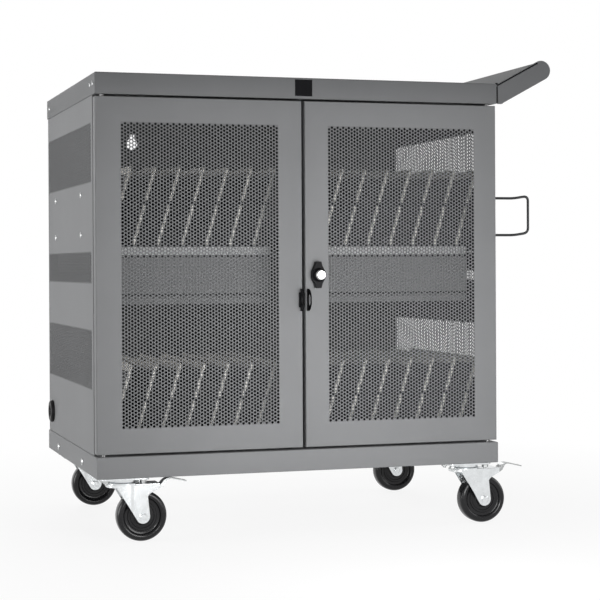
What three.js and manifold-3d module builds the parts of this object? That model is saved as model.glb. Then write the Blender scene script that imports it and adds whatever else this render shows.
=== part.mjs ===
// Laptop charging cart: a folded sheet-metal cabinet on four swivel casters, with two
// perforated doors, two tiers of leaning divider plates and a push handle at one end.
// Millimetres, +Z up, doors towards -Y, push handle towards +X.
import * as THREE from 'three';
import { mergeVertices } from 'three/addons/utils/BufferGeometryUtils.js';
import ManifoldModule from 'manifold-3d';

const wasm = await ManifoldModule();
wasm.setup();

// Cabinet
const BODY_WIDTH = 842;
const BODY_DEPTH = 590;
const BODY_HEIGHT = 790; // underside of the base to the top of the lid
const SHEET = 1.5; // folded steel sheet
const SEAM = 0.3; // gap between neighbouring pieces
const BASE_SKIRT = 43;
const BASE_RETURN = 84; // flange under the base that carries the casters
const LID_SKIRT = 42;
const PANEL_RETURN = 22; // folded edges of the side panels

// Doors
const DOOR_DEPTH = 30;
const DOOR_REVEAL = 4.3; // gap above and below each door
const MEETING_GAP = 6.4; // gap between the two doors
const SWING_CLEARANCE = 1.8; // left between a turning door and the side panel
const PIVOT_INSET = 15; // pivot axis from the door's outer edge
const PIVOT_RADIUS = 4;
const PIVOT_ENTRY = 3; // pin standing past the sheet that holds it

// Perforations
const FIELD_BORDER = 49; // plain frame round a door's perforated field
const DOOR_HOLE = 38;
const DOOR_HOLE_PITCH = 55;
const DOOR_HOLE_SIDES = 6;
const BAND_HOLE = 30;
const BAND_HOLE_PITCH = 50;
const BAND_HOLE_SIDES = 4;
const BAND_FRONT_MARGIN = 15;
const BAND_REAR_MARGIN = 31;
const LOWER_BAND = { bottom: 171, height: 116 };
const MIDDLE_BAND = { bottom: 379, height: 64 };
const UPPER_BAND = { bottom: 580, height: 114 };

// Keyhole-shaped opening in the back panel
const KEYHOLE_X = -228;
const KEYHOLE_BELOW_LID = 95;
const KEYHOLE_RADIUS = 13;
const KEYHOLE_NECK = 12;
const KEYHOLE_HEIGHT = 22; // centre of the round part to the top of the neck

// Lock on the right door
const LOCK_HEIGHT = 394;
const LOCK_HUB_RADIUS = 13.5;
const LOCK_HUB_LENGTH = 22;
const LOCK_WING_SPAN = 53;
const LOCK_WING_WIDTH = 14;
const LOCK_WING_THICKNESS = 13;
const LOCK_SHAFT_RADIUS = 6;
const LOCK_PLUG_RADIUS = 9.5;
const LOCK_PLUG_PROUD = 9;
const LOCK_PLUG_DEPTH = 14;
const LOCK_RUNNING_GAP = 0.4;
const KEYWAY_WIDTH = 2.2;
const KEYWAY_LENGTH = 9;
const KEYWAY_DEPTH = 4;
const CAM_LENGTH = 38;
const CAM_WIDTH = 14;
const CAM_THICKNESS = 3;

// Padlock ears
const EAR_HEIGHT = 45;
const EAR_CENTRE_HEIGHT = 344;
const EAR_REACH = 27;
const EAR_THICKNESS = 3;
const EAR_INSET = 3; // from the door's meeting edge
const EAR_FOOT = 6;
const EAR_FOOT_HEIGHT = 30;
const EAR_CORNER = 20;
const EAR_EYE_WIDTH = 12;
const EAR_EYE_HEIGHT = 22;
const EAR_RIM = 6.5; // metal left in front of the eye

// Push handle on the right end of the lid
const HANDLE_REACH = 104; // lid edge to the centre of the rolled nose
const HANDLE_RISE = 31; // lid top to the centre of the rolled nose
const HANDLE_NOSE_RADIUS = 20.5;
const HANDLE_SLOPE = 28.3;
const HANDLE_SHEET = 2;
const HANDLE_END_PLATE = 3;
const HANDLE_END_GAP = 4; // lid to the end plates
const HANDLE_RECESS = 2; // sheet set in from the edge of the end plates
const HANDLE_ROLL_END = -75; // the roll stops here, open underneath

// Cord hook on the right side panel
const HOOK_WIRE = 5;
const HOOK_SPACING = 81;
const HOOK_CENTRE_HEIGHT = 518;
const HOOK_FROM_FRONT = 168;
const HOOK_REACH = 118;
const HOOK_TIP_LENGTH = 30;
const HOOK_TIP_RISE = 5;
const HOOK_TIP_FORWARD = 12;
const HOOK_BEND = 10;
const HOOK_COLLAR_RADIUS = 6;
const HOOK_COLLAR_LENGTH = 3;

// Cord grommet on the left side panel
const GROMMET_FROM_REAR = 50;
const GROMMET_HEIGHT = 89;
const GROMMET_RADIUS = 24.5;
const GROMMET_PROUD = 8;
const GROMMET_NECK_RADIUS = 19;
const GROMMET_BORE_RADIUS = 11;
const GROMMET_LIP = 2.5;

// Divider racks, middle shelf and charger boxes
const RACK_FRONT = 80; // door faces to the racks' front edge
const REAR_CHASE = 115; // free depth behind the racks
const SHELF_HEIGHT = 440;
const SHELF_FLANGE = 40;
const DIVIDERS_PER_RACK = 7;
const DIVIDER_SHEET = 2;
const DIVIDER_HEIGHT = 180;
const DIVIDER_LEAN = 16.4;
const DIVIDER_CORNER = 6;
const SLOT_DROP = 1.2; // depth of a divider's foot in its slot
const SLOT_END_MARGIN = 20; // slot ends from the plate's edges
const LEFT_RACK_MARGIN = 34.5; // side panel to the first foot
const RIGHT_RACK_MARGIN = 63; // centre of the cart to the first foot
const RACK_WALL_MARGIN = 3.4; // last divider's top to the side panel
const BOX_HALF_GAP = 48; // centre of the cart to each charger box
const BOX_SIDE_GAP = 31.5;
const BOX_HEIGHT = 102;
const BOX_DEPTH = 260;
const BOX_LIP_RISE = 12;
const BOX_LIP_LEAN = 5;
const BOX_TOE_HEIGHT = 16;
const BOX_TOE_SETBACK = 5;

// Outlet strip on the back panel
const STRIP_WIDTH = 660;
const STRIP_HEIGHT = 50;
const STRIP_DEPTH = 44;
const STRIP_ABOVE_SHELF = 30;
const SOCKET_COUNT = 12;
const SOCKET_SIZE = 30;
const SOCKET_DEPTH = 12;

// Casters
const CASTER_HEIGHT = 128;
const CASTER_INSET_X = 57;
const CASTER_INSET_Y = 38;
const CASTER_TRAIL = 36;
const WHEEL_RADIUS = 50;
const WHEEL_WIDTH = 32;
const WHEEL_EDGE = 5;
const HUB_WIDTH = 36;
const HUB_RADIUS = 15;
const WHEEL_DISH = 6; // depth of the recess beside the hub
const RIM_RADIUS = 36;
const AXLE_RADIUS = 5;
const AXLE_HEAD_RADIUS = 7.5;
const AXLE_HEAD = 4;
const WHEEL_RUNNING_GAP = 0.4;
const PLATE_LENGTH = 95;
const PLATE_WIDTH = 66;
const PLATE_THICKNESS = 4;
const PLATE_CORNER = 8;
const PLATE_SLOT_LENGTH = 12;
const PLATE_SLOT_WIDTH = 8.5;
const PLATE_SLOT_INSET = 11;
const RACE_RADIUS = 28;
const RACE_HEIGHT = 6;
const FORK_RACE_RADIUS = 30;
const FORK_RACE_HEIGHT = 3;
const FORK_SHEET = 3;
const FORK_SIDE_GAP = 1; // hub face to fork leg
const FORK_FOOT_RADIUS = 14;
const FORK_LEAD = 33; // crown in front of the swivel axis
const FORK_LEG_LEAD = 17; // legs in front of the swivel axis
const FORK_CROWN_CORNER = 18;
const FORK_TAIL = 70; // crown behind the swivel axis
const FORK_WAIST = 9.5; // leg's rear edge behind the axle
const FORK_WAIST_RISE = 37; // height of that waist above the axle
const PEDAL_WIDTH = 26;
const PEDAL_THICKNESS = 4;
const PEDAL_PIVOT_BACK = 45; // behind the swivel axis
const PEDAL_PIVOT_DROP = 24;
const PEDAL_PIN_RADIUS = 3;
const PEDAL_KNEE = 24;
const PEDAL_BEND = 42;
const PEDAL_LENGTH = 82;
const PEDAL_RISE = 16;
const PEDAL_TIP_DROP = 6; // tip below the crest
const PEDAL_FILLET = 9;

// Smoothness
const ROUND_SIDES = 16;
const SMALL_SIDES = 8;
const WHEEL_SIDES = 18;
const ARC_STEPS = 4;
const WIRE_STEPS = 34;
const SNAP = 1000; // coordinates are kept to a thousandth, so that flush faces are flush

// Derived places
const overlap = SHEET + SEAM; // lid and base skirts stand outside the panels
const halfWidth = BODY_WIDTH / 2;
const halfOuter = halfWidth + overlap;
const frontOuter = -overlap;
const rearOuter = BODY_DEPTH + overlap;
const innerHalf = halfWidth - SHEET;
const lidBottom = BODY_HEIGHT - LID_SKIRT;
const panelBottom = BASE_SKIRT + SEAM;
const panelTop = BODY_HEIGHT - SHEET - SEAM;
const pivotX = halfWidth - PIVOT_INSET;
const pivotY = DOOR_DEPTH / 2;
const panelFront = pivotY + Math.hypot(PIVOT_INSET, pivotY) + SWING_CLEARANCE;
const panelRear = BODY_DEPTH - SHEET - SEAM;
const doorWidth = halfWidth - MEETING_GAP / 2;
const doorBottom = BASE_SKIRT + DOOR_REVEAL;
const doorTop = lidBottom - DOOR_REVEAL;
const doorFace = -DOOR_DEPTH / 2; // in a door's own frame, about its pivot axis
const pivotHole = (PIVOT_RADIUS + SEAM) / Math.cos(Math.PI / ROUND_SIDES);
const lockPlace = PIVOT_INSET - doorWidth + FIELD_BORDER / 2; // in the right door's own frame
const lean = THREE.MathUtils.degToRad(DIVIDER_LEAN);
const leanShift = DIVIDER_HEIGHT * Math.sin(lean) + DIVIDER_SHEET * Math.cos(lean);
const rackPitch = (innerHalf - RACK_WALL_MARGIN - leanShift - RIGHT_RACK_MARGIN) / (DIVIDERS_PER_RACK - 1);
const rackBack = BODY_DEPTH - SHEET - REAR_CHASE;
const shelfFront = RACK_FRONT + SHEET + BOX_LIP_LEAN + SEAM;
const rackDepth = rackBack - shelfFront;
const shelfBottom = SHELF_HEIGHT - SHEET;
const racks = [
  { name: 'left', firstFoot: -innerHalf + LEFT_RACK_MARGIN },
  { name: 'right', firstFoot: RIGHT_RACK_MARGIN },
];
const axleDrop = CASTER_HEIGHT - WHEEL_RADIUS;
const forkTop = -SEAM - PLATE_THICKNESS - RACE_HEIGHT - SEAM;
const crownTop = forkTop - FORK_RACE_HEIGHT;
const forkInner = HUB_WIDTH / 2 + FORK_SIDE_GAP;
const forkOuter = forkInner + FORK_SHEET;

// Materials
function finish(color, roughness, metalness) {
  return new THREE.MeshStandardMaterial({ color, roughness, metalness });
}
const greySteel = finish(0x77787a, 0.5, 0.2);
const dividerGrey = finish(0x5c5d5e, 0.6, 0.2);
const zinc = finish(0xc9cdcd, 0.3, 0.9);
const blackPlastic = finish(0x1c1c1d, 0.5, 0);
const wheelBlack = finish(0x232323, 0.35, 0);
const chrome = finish(0xe4e4e2, 0.15, 1);
const darkWire = finish(0x3a3b3c, 0.45, 0.5);

// A closed geometry as a solid that can be joined and cut.
function toSolid(geometry) {
  const bare = geometry.clone();
  bare.deleteAttribute('normal');
  bare.deleteAttribute('uv');
  bare.attributes.position.array.forEach((value, i, all) => {
    all[i] = Math.round(value * SNAP) / SNAP;
  });
  const merged = mergeVertices(bare);
  return new wasm.Manifold(new wasm.Mesh({
    numProp: 3,
    vertProperties: new Float32Array(merged.attributes.position.array),
    triVerts: new Uint32Array(merged.index.array),
  }));
}

function toGeometry(solid) {
  const mesh = solid.getMesh();
  const geometry = new THREE.BufferGeometry();
  geometry.setAttribute('position', new THREE.BufferAttribute(mesh.vertProperties, 3));
  geometry.setIndex(new THREE.BufferAttribute(mesh.triVerts, 1));
  geometry.computeVertexNormals();
  return geometry;
}

function join(...geometries) {
  return toGeometry(geometries.map(toSolid).reduce((whole, piece) => whole.add(piece)));
}

function cut(geometry, ...tools) {
  return toGeometry(tools.map(toSolid).reduce((rest, tool) => rest.subtract(tool), toSolid(geometry)));
}

// A box between two opposite corners.
function block(low, high) {
  const geometry = new THREE.BoxGeometry(high[0] - low[0], high[1] - low[1], high[2] - low[2]);
  return geometry.translate((low[0] + high[0]) / 2, (low[1] + high[1]) / 2, (low[2] + high[2]) / 2);
}

function rectangle(left, bottom, right, top) {
  return new THREE.Shape([
    new THREE.Vector2(left, bottom),
    new THREE.Vector2(right, bottom),
    new THREE.Vector2(right, top),
    new THREE.Vector2(left, top),
  ]);
}

// Points on an arc, angles in radians.
function arc(x, y, radius, start, end, steps = ARC_STEPS) {
  return Array.from({ length: steps + 1 }, (_, i) => {
    const angle = start + (end - start) * i / steps;
    return new THREE.Vector2(x + radius * Math.cos(angle), y + radius * Math.sin(angle));
  });
}

function roundOutline(x, y, radius, sides = ROUND_SIDES) {
  return new THREE.Shape(arc(x, y, radius, 0, 2 * Math.PI, sides).slice(0, sides));
}

function roundedRectangle(left, bottom, right, top, radius) {
  const quarter = Math.PI / 2;
  return new THREE.Shape([
    ...arc(right - radius, bottom + radius, radius, -quarter, 0),
    ...arc(right - radius, top - radius, radius, 0, quarter),
    ...arc(left + radius, top - radius, radius, quarter, 2 * quarter),
    ...arc(left + radius, bottom + radius, radius, 2 * quarter, 3 * quarter),
  ]);
}

// A flat outline given a thickness along Z, Y or X.
function slabXY(shape, low, thickness) {
  return new THREE.ExtrudeGeometry(shape, { depth: thickness, bevelEnabled: false }).translate(0, 0, low);
}

function slabXZ(shape, low, thickness) {
  const geometry = new THREE.ExtrudeGeometry(shape, { depth: thickness, bevelEnabled: false });
  return geometry.rotateX(Math.PI / 2).translate(0, low + thickness, 0);
}

function slabYZ(shape, low, thickness) {
  const geometry = new THREE.ExtrudeGeometry(shape, { depth: thickness, bevelEnabled: false });
  const turn = new THREE.Matrix4().makeBasis(
    new THREE.Vector3(0, 1, 0),
    new THREE.Vector3(0, 0, 1),
    new THREE.Vector3(1, 0, 0),
  );
  return geometry.applyMatrix4(turn).translate(low, 0, 0);
}

// Round bars along Y and Z.
function barY(x, z, radius, low, high, sides = ROUND_SIDES) {
  const geometry = new THREE.CylinderGeometry(radius, radius, high - low, sides);
  return geometry.translate(x, (low + high) / 2, z);
}

function barZ(x, y, radius, low, high, sides = ROUND_SIDES) {
  const geometry = new THREE.CylinderGeometry(radius, radius, high - low, sides);
  return geometry.rotateX(Math.PI / 2).translate(x, y, (low + high) / 2);
}

// The section of a folded sheet: the points of one face, and the same line set off to its left.
function foldedSheet(points, thickness) {
  const inner = points.map((point, i) => {
    const before = point.clone().sub(points[Math.max(i - 1, 0)]);
    const after = points[Math.min(i + 1, points.length - 1)].clone().sub(point);
    const arrive = (before.length() > 0 ? before : after).clone().normalize();
    const leave = (after.length() > 0 ? after : before).clone().normalize();
    const mitre = arrive.clone().add(leave).normalize();
    const set = thickness / mitre.dot(arrive);
    return new THREE.Vector2(point.x - mitre.y * set, point.y + mitre.x * set);
  });
  return new THREE.Shape([...points, ...inner.reverse()]);
}

// Staggered holes that fill a rectangle, centred in it.
function staggeredHoles(left, bottom, right, top, diameter, pitch, sides) {
  const columnPitch = pitch * Math.sqrt(3) / 2;
  const columns = Math.floor((right - left - diameter) / columnPitch) + 1;
  const rows = Math.floor((top - bottom - diameter - pitch / 2) / pitch) + 1;
  const holes = [];
  for (let column = 0; column < columns; column += 1) {
    const stagger = (column % 2 - 0.5) * pitch / 2;
    for (let row = 0; row < rows; row += 1) {
      const x = (left + right) / 2 + (column - (columns - 1) / 2) * columnPitch;
      const y = (bottom + top) / 2 + (row - (rows - 1) / 2) * pitch + stagger;
      holes.push(roundOutline(x, y, diameter / 2, sides));
    }
  }
  return holes;
}

function piece(name, geometry, material, x = 0, y = 0, z = 0) {
  const mesh = new THREE.Mesh(geometry, material);
  mesh.name = name;
  mesh.position.set(x, y, z);
  return mesh;
}

// Slots for the dividers' feet through a plate of one tier.
function footSlots(plateTop) {
  const slotWidth = DIVIDER_SHEET / Math.cos(lean) + SHEET * Math.tan(lean) + 2 * SEAM;
  const feet = racks.flatMap((rack) => footPlaces(rack));
  return feet.map((x) => block(
    [x - slotWidth / 2, shelfFront + SLOT_END_MARGIN - SEAM, plateTop - 2 * SHEET],
    [x + slotWidth / 2, rackBack - SLOT_END_MARGIN + SEAM, plateTop + SHEET],
  ));
}

function footPlaces(rack) {
  return Array.from({ length: DIVIDERS_PER_RACK }, (_, i) => rack.firstFoot + i * rackPitch);
}

// Base: a pan turned over, with flanges under it for the casters.
function basePan() {
  const outer = block([-halfOuter, frontOuter, 0], [halfOuter, rearOuter, BASE_SKIRT]);
  const hollow = block(
    [-halfOuter + SHEET, frontOuter + SHEET, SHEET],
    [halfOuter - SHEET, rearOuter - SHEET, BASE_SKIRT - SHEET],
  );
  const mouth = block(
    [-halfOuter + PANEL_RETURN, BASE_RETURN, -SHEET],
    [halfOuter - PANEL_RETURN, BODY_DEPTH - BASE_RETURN, 2 * SHEET],
  );
  const pivots = [-pivotX, pivotX].map((x) => barZ(x, pivotY, pivotHole, BASE_SKIRT - 2 * SHEET, BASE_SKIRT + SHEET));
  return cut(outer, hollow, mouth, ...pivots, ...footSlots(BASE_SKIRT));
}

// Side panel: a sheet with perforated bands and folded front and rear edges.
function sidePanel(side) {
  const fold = side * (halfWidth - PANEL_RETURN);
  const route = [
    new THREE.Vector2(fold, panelFront),
    new THREE.Vector2(side * halfWidth, panelFront),
    new THREE.Vector2(side * halfWidth, panelRear),
    new THREE.Vector2(fold, panelRear),
  ];
  const section = foldedSheet(side > 0 ? route : route.reverse(), SHEET);
  const holes = [LOWER_BAND, MIDDLE_BAND, UPPER_BAND].flatMap((band) => staggeredHoles(
    panelFront + BAND_FRONT_MARGIN,
    band.bottom,
    panelRear - BAND_REAR_MARGIN,
    band.bottom + band.height,
    BAND_HOLE,
    BAND_HOLE_PITCH,
    BAND_HOLE_SIDES,
  ));
  if (side < 0) {
    const neckHole = (GROMMET_NECK_RADIUS + SEAM) / Math.cos(Math.PI / ROUND_SIDES);
    holes.push(roundOutline(BODY_DEPTH - GROMMET_FROM_REAR, GROMMET_HEIGHT, neckHole));
  }
  const punchLow = side * (halfWidth - SHEET / 2) - SHEET;
  return cut(
    slabXY(section, panelBottom, panelTop - panelBottom),
    ...holes.map((hole) => slabYZ(hole, punchLow, 2 * SHEET)),
  );
}

function backPanel() {
  const sheet = rectangle(-halfWidth, panelBottom, halfWidth, panelTop);
  const centre = BODY_HEIGHT - KEYHOLE_BELOW_LID;
  const shoulder = Math.asin(KEYHOLE_NECK / 2 / KEYHOLE_RADIUS);
  const quarter = Math.PI / 2;
  sheet.holes.push(new THREE.Path([
    ...arc(KEYHOLE_X, centre, KEYHOLE_RADIUS, quarter + shoulder, 5 * quarter - shoulder, ROUND_SIDES),
    new THREE.Vector2(KEYHOLE_X + KEYHOLE_NECK / 2, centre + KEYHOLE_HEIGHT),
    new THREE.Vector2(KEYHOLE_X - KEYHOLE_NECK / 2, centre + KEYHOLE_HEIGHT),
  ]));
  return slabXZ(sheet, BODY_DEPTH - SHEET, SHEET);
}

// Lid: a pan with a flange behind its front skirt that holds the doors' upper pivots.
function lid() {
  const outer = block([-halfOuter, frontOuter, lidBottom], [halfOuter, rearOuter, BODY_HEIGHT]);
  const hollow = block(
    [-halfOuter + SHEET, frontOuter + SHEET, lidBottom - SHEET],
    [halfOuter - SHEET, rearOuter - SHEET, BODY_HEIGHT - SHEET],
  );
  const header = block([-halfOuter, frontOuter, lidBottom], [halfOuter, panelFront - SEAM, lidBottom + SHEET]);
  const pivots = [-pivotX, pivotX].map((x) => barZ(x, pivotY, pivotHole, lidBottom - SHEET, lidBottom + 2 * SHEET));
  return cut(join(cut(outer, hollow), header), ...pivots);
}

// Push handle: a rolled sheet between two end plates, open underneath for the fingers.
function pushHandle() {
  const root = halfOuter + SEAM;
  const noseX = halfOuter + HANDLE_REACH;
  const noseZ = BODY_HEIGHT + HANDLE_RISE;
  const slope = THREE.MathUtils.degToRad(HANDLE_SLOPE);
  const along = new THREE.Vector2(Math.cos(slope), Math.sin(slope));
  const rollTop = Math.PI / 2 + slope;
  const topAt = (radius) => noseZ + radius / along.x + (root - noseX) * Math.tan(slope);
  const toe = noseX + (HANDLE_NOSE_RADIUS - (noseZ - lidBottom) * along.x) / along.y;
  const plate = new THREE.Shape([
    new THREE.Vector2(root + HANDLE_END_GAP, lidBottom),
    new THREE.Vector2(toe, lidBottom),
    ...arc(noseX, noseZ, HANDLE_NOSE_RADIUS, slope - Math.PI / 2, rollTop, 2 * ARC_STEPS),
    new THREE.Vector2(root + HANDLE_END_GAP, topAt(HANDLE_NOSE_RADIUS) + HANDLE_END_GAP * Math.tan(slope)),
  ]);
  const skin = HANDLE_NOSE_RADIUS - HANDLE_RECESS;
  const section = foldedSheet([
    ...arc(noseX, noseZ, skin, THREE.MathUtils.degToRad(HANDLE_ROLL_END), rollTop, 2 * ARC_STEPS),
    new THREE.Vector2(root, topAt(skin)),
    new THREE.Vector2(root, lidBottom + HANDLE_RECESS),
  ], HANDLE_SHEET);
  const farPlate = BODY_DEPTH - HANDLE_END_PLATE;
  return join(
    slabXZ(plate, 0, HANDLE_END_PLATE),
    slabXZ(plate, farPlate, HANDLE_END_PLATE),
    slabXZ(section, HANDLE_END_PLATE / 2, farPlate),
  );
}

// Door: a perforated pan with pivot pins, about its own pivot axis. Side is -1 left, 1 right.
function door(side) {
  const left = side < 0 ? -PIVOT_INSET : PIVOT_INSET - doorWidth;
  const right = left + doorWidth;
  const outer = block([left, doorFace, doorBottom], [right, -doorFace, doorTop]);
  const hollow = block(
    [left + SHEET, doorFace + SHEET, doorBottom + SHEET],
    [right - SHEET, -doorFace + SHEET, doorTop - SHEET],
  );
  const holes = staggeredHoles(
    left + FIELD_BORDER,
    doorBottom + FIELD_BORDER,
    right - FIELD_BORDER,
    doorTop - FIELD_BORDER,
    DOOR_HOLE,
    DOOR_HOLE_PITCH,
    DOOR_HOLE_SIDES,
  );
  if (side > 0) {
    holes.push(roundOutline(lockPlace, LOCK_HEIGHT, LOCK_SHAFT_RADIUS + 2 * LOCK_RUNNING_GAP));
  }
  const punches = holes.map((hole) => slabXZ(hole, doorFace - SHEET, 3 * SHEET));
  const pinLength = DOOR_REVEAL + SHEET + PIVOT_ENTRY;
  return join(
    cut(outer, hollow, ...punches),
    barZ(0, 0, PIVOT_RADIUS, doorTop - SHEET, doorTop + pinLength),
    barZ(0, 0, PIVOT_RADIUS, doorBottom - pinLength, doorBottom + SHEET),
  );
}

// Padlock ear: a foot on the door's face and a plate with an eye standing out of it.
function padlockEar(side) {
  const edge = -side * (doorWidth - PIVOT_INSET);
  const near = edge + side * EAR_INSET;
  const plateLow = Math.min(near, near + side * EAR_THICKNESS);
  const footLow = Math.min(near, near + side * EAR_FOOT);
  const back = doorFace - SEAM;
  const front = back - EAR_REACH;
  const bottom = EAR_CENTRE_HEIGHT - EAR_HEIGHT / 2;
  const top = EAR_CENTRE_HEIGHT + EAR_HEIGHT / 2;
  const plate = new THREE.Shape([
    new THREE.Vector2(back, bottom),
    new THREE.Vector2(back, top),
    ...arc(front + EAR_CORNER, top - EAR_CORNER, EAR_CORNER, Math.PI / 2, Math.PI),
    ...arc(front + EAR_CORNER, bottom + EAR_CORNER, EAR_CORNER, Math.PI, 1.5 * Math.PI),
  ]);
  plate.holes.push(roundedRectangle(
    front + EAR_RIM,
    EAR_CENTRE_HEIGHT - EAR_EYE_HEIGHT / 2,
    front + EAR_RIM + EAR_EYE_WIDTH,
    EAR_CENTRE_HEIGHT + EAR_EYE_HEIGHT / 2,
    EAR_EYE_WIDTH / 2 - SEAM,
  ));
  const foot = block(
    [footLow, back - EAR_THICKNESS, EAR_CENTRE_HEIGHT - EAR_FOOT_HEIGHT / 2],
    [footLow + EAR_FOOT, back, EAR_CENTRE_HEIGHT + EAR_FOOT_HEIGHT / 2],
  );
  return join(slabYZ(plate, plateLow, EAR_THICKNESS), foot);
}

// Lock handle about its own axis, with the shaft and cam behind the door. The door's face is y = 0.
function lockHandle() {
  const back = -SEAM;
  const front = back - LOCK_HUB_LENGTH;
  const wing = new THREE.Shape([
    new THREE.Vector2(-LOCK_WING_WIDTH / 2, -LOCK_WING_SPAN / 2),
    new THREE.Vector2(LOCK_WING_WIDTH / 2, -LOCK_WING_SPAN / 2),
    new THREE.Vector2(LOCK_HUB_RADIUS, 0),
    new THREE.Vector2(LOCK_WING_WIDTH / 2, LOCK_WING_SPAN / 2),
    new THREE.Vector2(-LOCK_WING_WIDTH / 2, LOCK_WING_SPAN / 2),
    new THREE.Vector2(-LOCK_HUB_RADIUS, 0),
  ]);
  const camNear = DOOR_DEPTH + SEAM;
  const camFar = camNear + CAM_THICKNESS;
  const body = join(
    barY(0, 0, LOCK_HUB_RADIUS, front, back),
    slabXZ(wing, back - LOCK_WING_THICKNESS, LOCK_WING_THICKNESS),
    barY(0, 0, LOCK_SHAFT_RADIUS, back - SHEET, camFar),
    block([-CAM_WIDTH / 2, camNear, -CAM_WIDTH / 2], [CAM_WIDTH / 2, camFar, CAM_LENGTH]),
  );
  const seat = (LOCK_PLUG_RADIUS + LOCK_RUNNING_GAP) / Math.cos(Math.PI / ROUND_SIDES);
  return cut(body, barY(0, 0, seat, front - SHEET, front + LOCK_PLUG_DEPTH + SEAM));
}

function lockCylinder() {
  const front = -SEAM - LOCK_HUB_LENGTH - LOCK_PLUG_PROUD;
  const back = -SEAM - LOCK_HUB_LENGTH + LOCK_PLUG_DEPTH;
  const plug = barY(0, 0, LOCK_PLUG_RADIUS, front, back);
  return cut(plug, block(
    [-KEYWAY_WIDTH / 2, front - SHEET, -KEYWAY_LENGTH / 2],
    [KEYWAY_WIDTH / 2, front + KEYWAY_DEPTH, KEYWAY_LENGTH / 2],
  ));
}

// Cord hook: one bent wire with a collar at each foot. The panel's outer face is x = 0.
function cordHook() {
  const half = HOOK_SPACING / 2;
  const corners = [
    new THREE.Vector3(SEAM, 0, half),
    new THREE.Vector3(HOOK_REACH, 0, half),
    new THREE.Vector3(HOOK_REACH + HOOK_TIP_LENGTH, -HOOK_TIP_FORWARD, half + HOOK_TIP_RISE),
    new THREE.Vector3(HOOK_REACH + HOOK_TIP_LENGTH, -HOOK_TIP_FORWARD, -half + HOOK_TIP_RISE),
    new THREE.Vector3(HOOK_REACH, 0, -half),
    new THREE.Vector3(SEAM, 0, -half),
  ];
  const wire = new THREE.ExtrudeGeometry(
    roundOutline(0, 0, HOOK_WIRE / 2, SMALL_SIDES),
    { steps: WIRE_STEPS, bevelEnabled: false, extrudePath: roundedRoute(corners, HOOK_BEND) },
  );
  const collars = [half, -half].map((z) => {
    const collar = new THREE.CylinderGeometry(HOOK_COLLAR_RADIUS, HOOK_COLLAR_RADIUS, HOOK_COLLAR_LENGTH, SMALL_SIDES);
    return collar.rotateZ(Math.PI / 2).translate(SEAM + HOOK_COLLAR_LENGTH / 2, 0, z);
  });
  return join(wire, ...collars);
}

// Straight runs through the corners, with each inner corner rounded.
function roundedRoute(corners, bend) {
  const route = new THREE.CurvePath();
  let from = corners[0];
  for (let i = 1; i < corners.length - 1; i += 1) {
    const corner = corners[i];
    const enter = corner.clone().add(corners[i - 1].clone().sub(corner).setLength(bend));
    const leave = corner.clone().add(corners[i + 1].clone().sub(corner).setLength(bend));
    route.add(new THREE.LineCurve3(from, enter));
    route.add(new THREE.QuadraticBezierCurve3(enter, corner, leave));
    from = leave;
  }
  route.add(new THREE.LineCurve3(from, corners[corners.length - 1]));
  return route;
}

// Cord grommet: a domed flange, a neck through the panel and a lip behind it.
// Its axis is +Y before it is turned, with the panel's outer face at y = 0.
function cordGrommet() {
  const behind = -SHEET - SEAM;
  const lipRadius = GROMMET_NECK_RADIUS + GROMMET_LIP;
  const mouth = GROMMET_BORE_RADIUS + GROMMET_LIP;
  return new THREE.LatheGeometry([
    new THREE.Vector2(GROMMET_BORE_RADIUS, behind - GROMMET_LIP),
    new THREE.Vector2(lipRadius, behind - GROMMET_LIP),
    new THREE.Vector2(lipRadius, behind),
    new THREE.Vector2(GROMMET_NECK_RADIUS, behind),
    new THREE.Vector2(GROMMET_NECK_RADIUS, SEAM),
    new THREE.Vector2(GROMMET_RADIUS, SEAM),
    new THREE.Vector2(GROMMET_RADIUS, GROMMET_PROUD - GROMMET_LIP),
    new THREE.Vector2(GROMMET_RADIUS - GROMMET_LIP, GROMMET_PROUD),
    new THREE.Vector2(mouth, GROMMET_PROUD),
    new THREE.Vector2(GROMMET_BORE_RADIUS, GROMMET_PROUD - GROMMET_LIP),
    new THREE.Vector2(GROMMET_BORE_RADIUS, behind - GROMMET_LIP),
  ], ROUND_SIDES).rotateZ(Math.PI / 2);
}

// Middle shelf: a plate across the cabinet with flanges down the side panels.
function midShelf() {
  const reach = innerHalf - SEAM;
  const flangeEnd = SHELF_HEIGHT - SHELF_FLANGE;
  const section = foldedSheet([
    new THREE.Vector2(reach, flangeEnd),
    new THREE.Vector2(reach, SHELF_HEIGHT),
    new THREE.Vector2(-reach, SHELF_HEIGHT),
    new THREE.Vector2(-reach, flangeEnd),
  ], SHEET);
  return cut(slabXZ(section, shelfFront, rackDepth), ...footSlots(SHELF_HEIGHT));
}

// Charger box: a folded front and floor under the shelf, open behind for the chargers.
function chargerBox(width) {
  const bottom = shelfBottom - BOX_HEIGHT;
  const toe = RACK_FRONT + BOX_TOE_SETBACK;
  const back = RACK_FRONT + BOX_DEPTH;
  const section = foldedSheet([
    new THREE.Vector2(RACK_FRONT + BOX_LIP_LEAN, SHELF_HEIGHT + BOX_LIP_RISE),
    new THREE.Vector2(RACK_FRONT, shelfBottom),
    new THREE.Vector2(RACK_FRONT, bottom + BOX_TOE_HEIGHT),
    new THREE.Vector2(toe, bottom + BOX_TOE_HEIGHT - BOX_TOE_SETBACK),
    new THREE.Vector2(toe, bottom),
    new THREE.Vector2(back, bottom),
    new THREE.Vector2(back, bottom + BOX_TOE_HEIGHT),
  ], SHEET);
  return slabYZ(section, 0, width);
}

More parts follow.
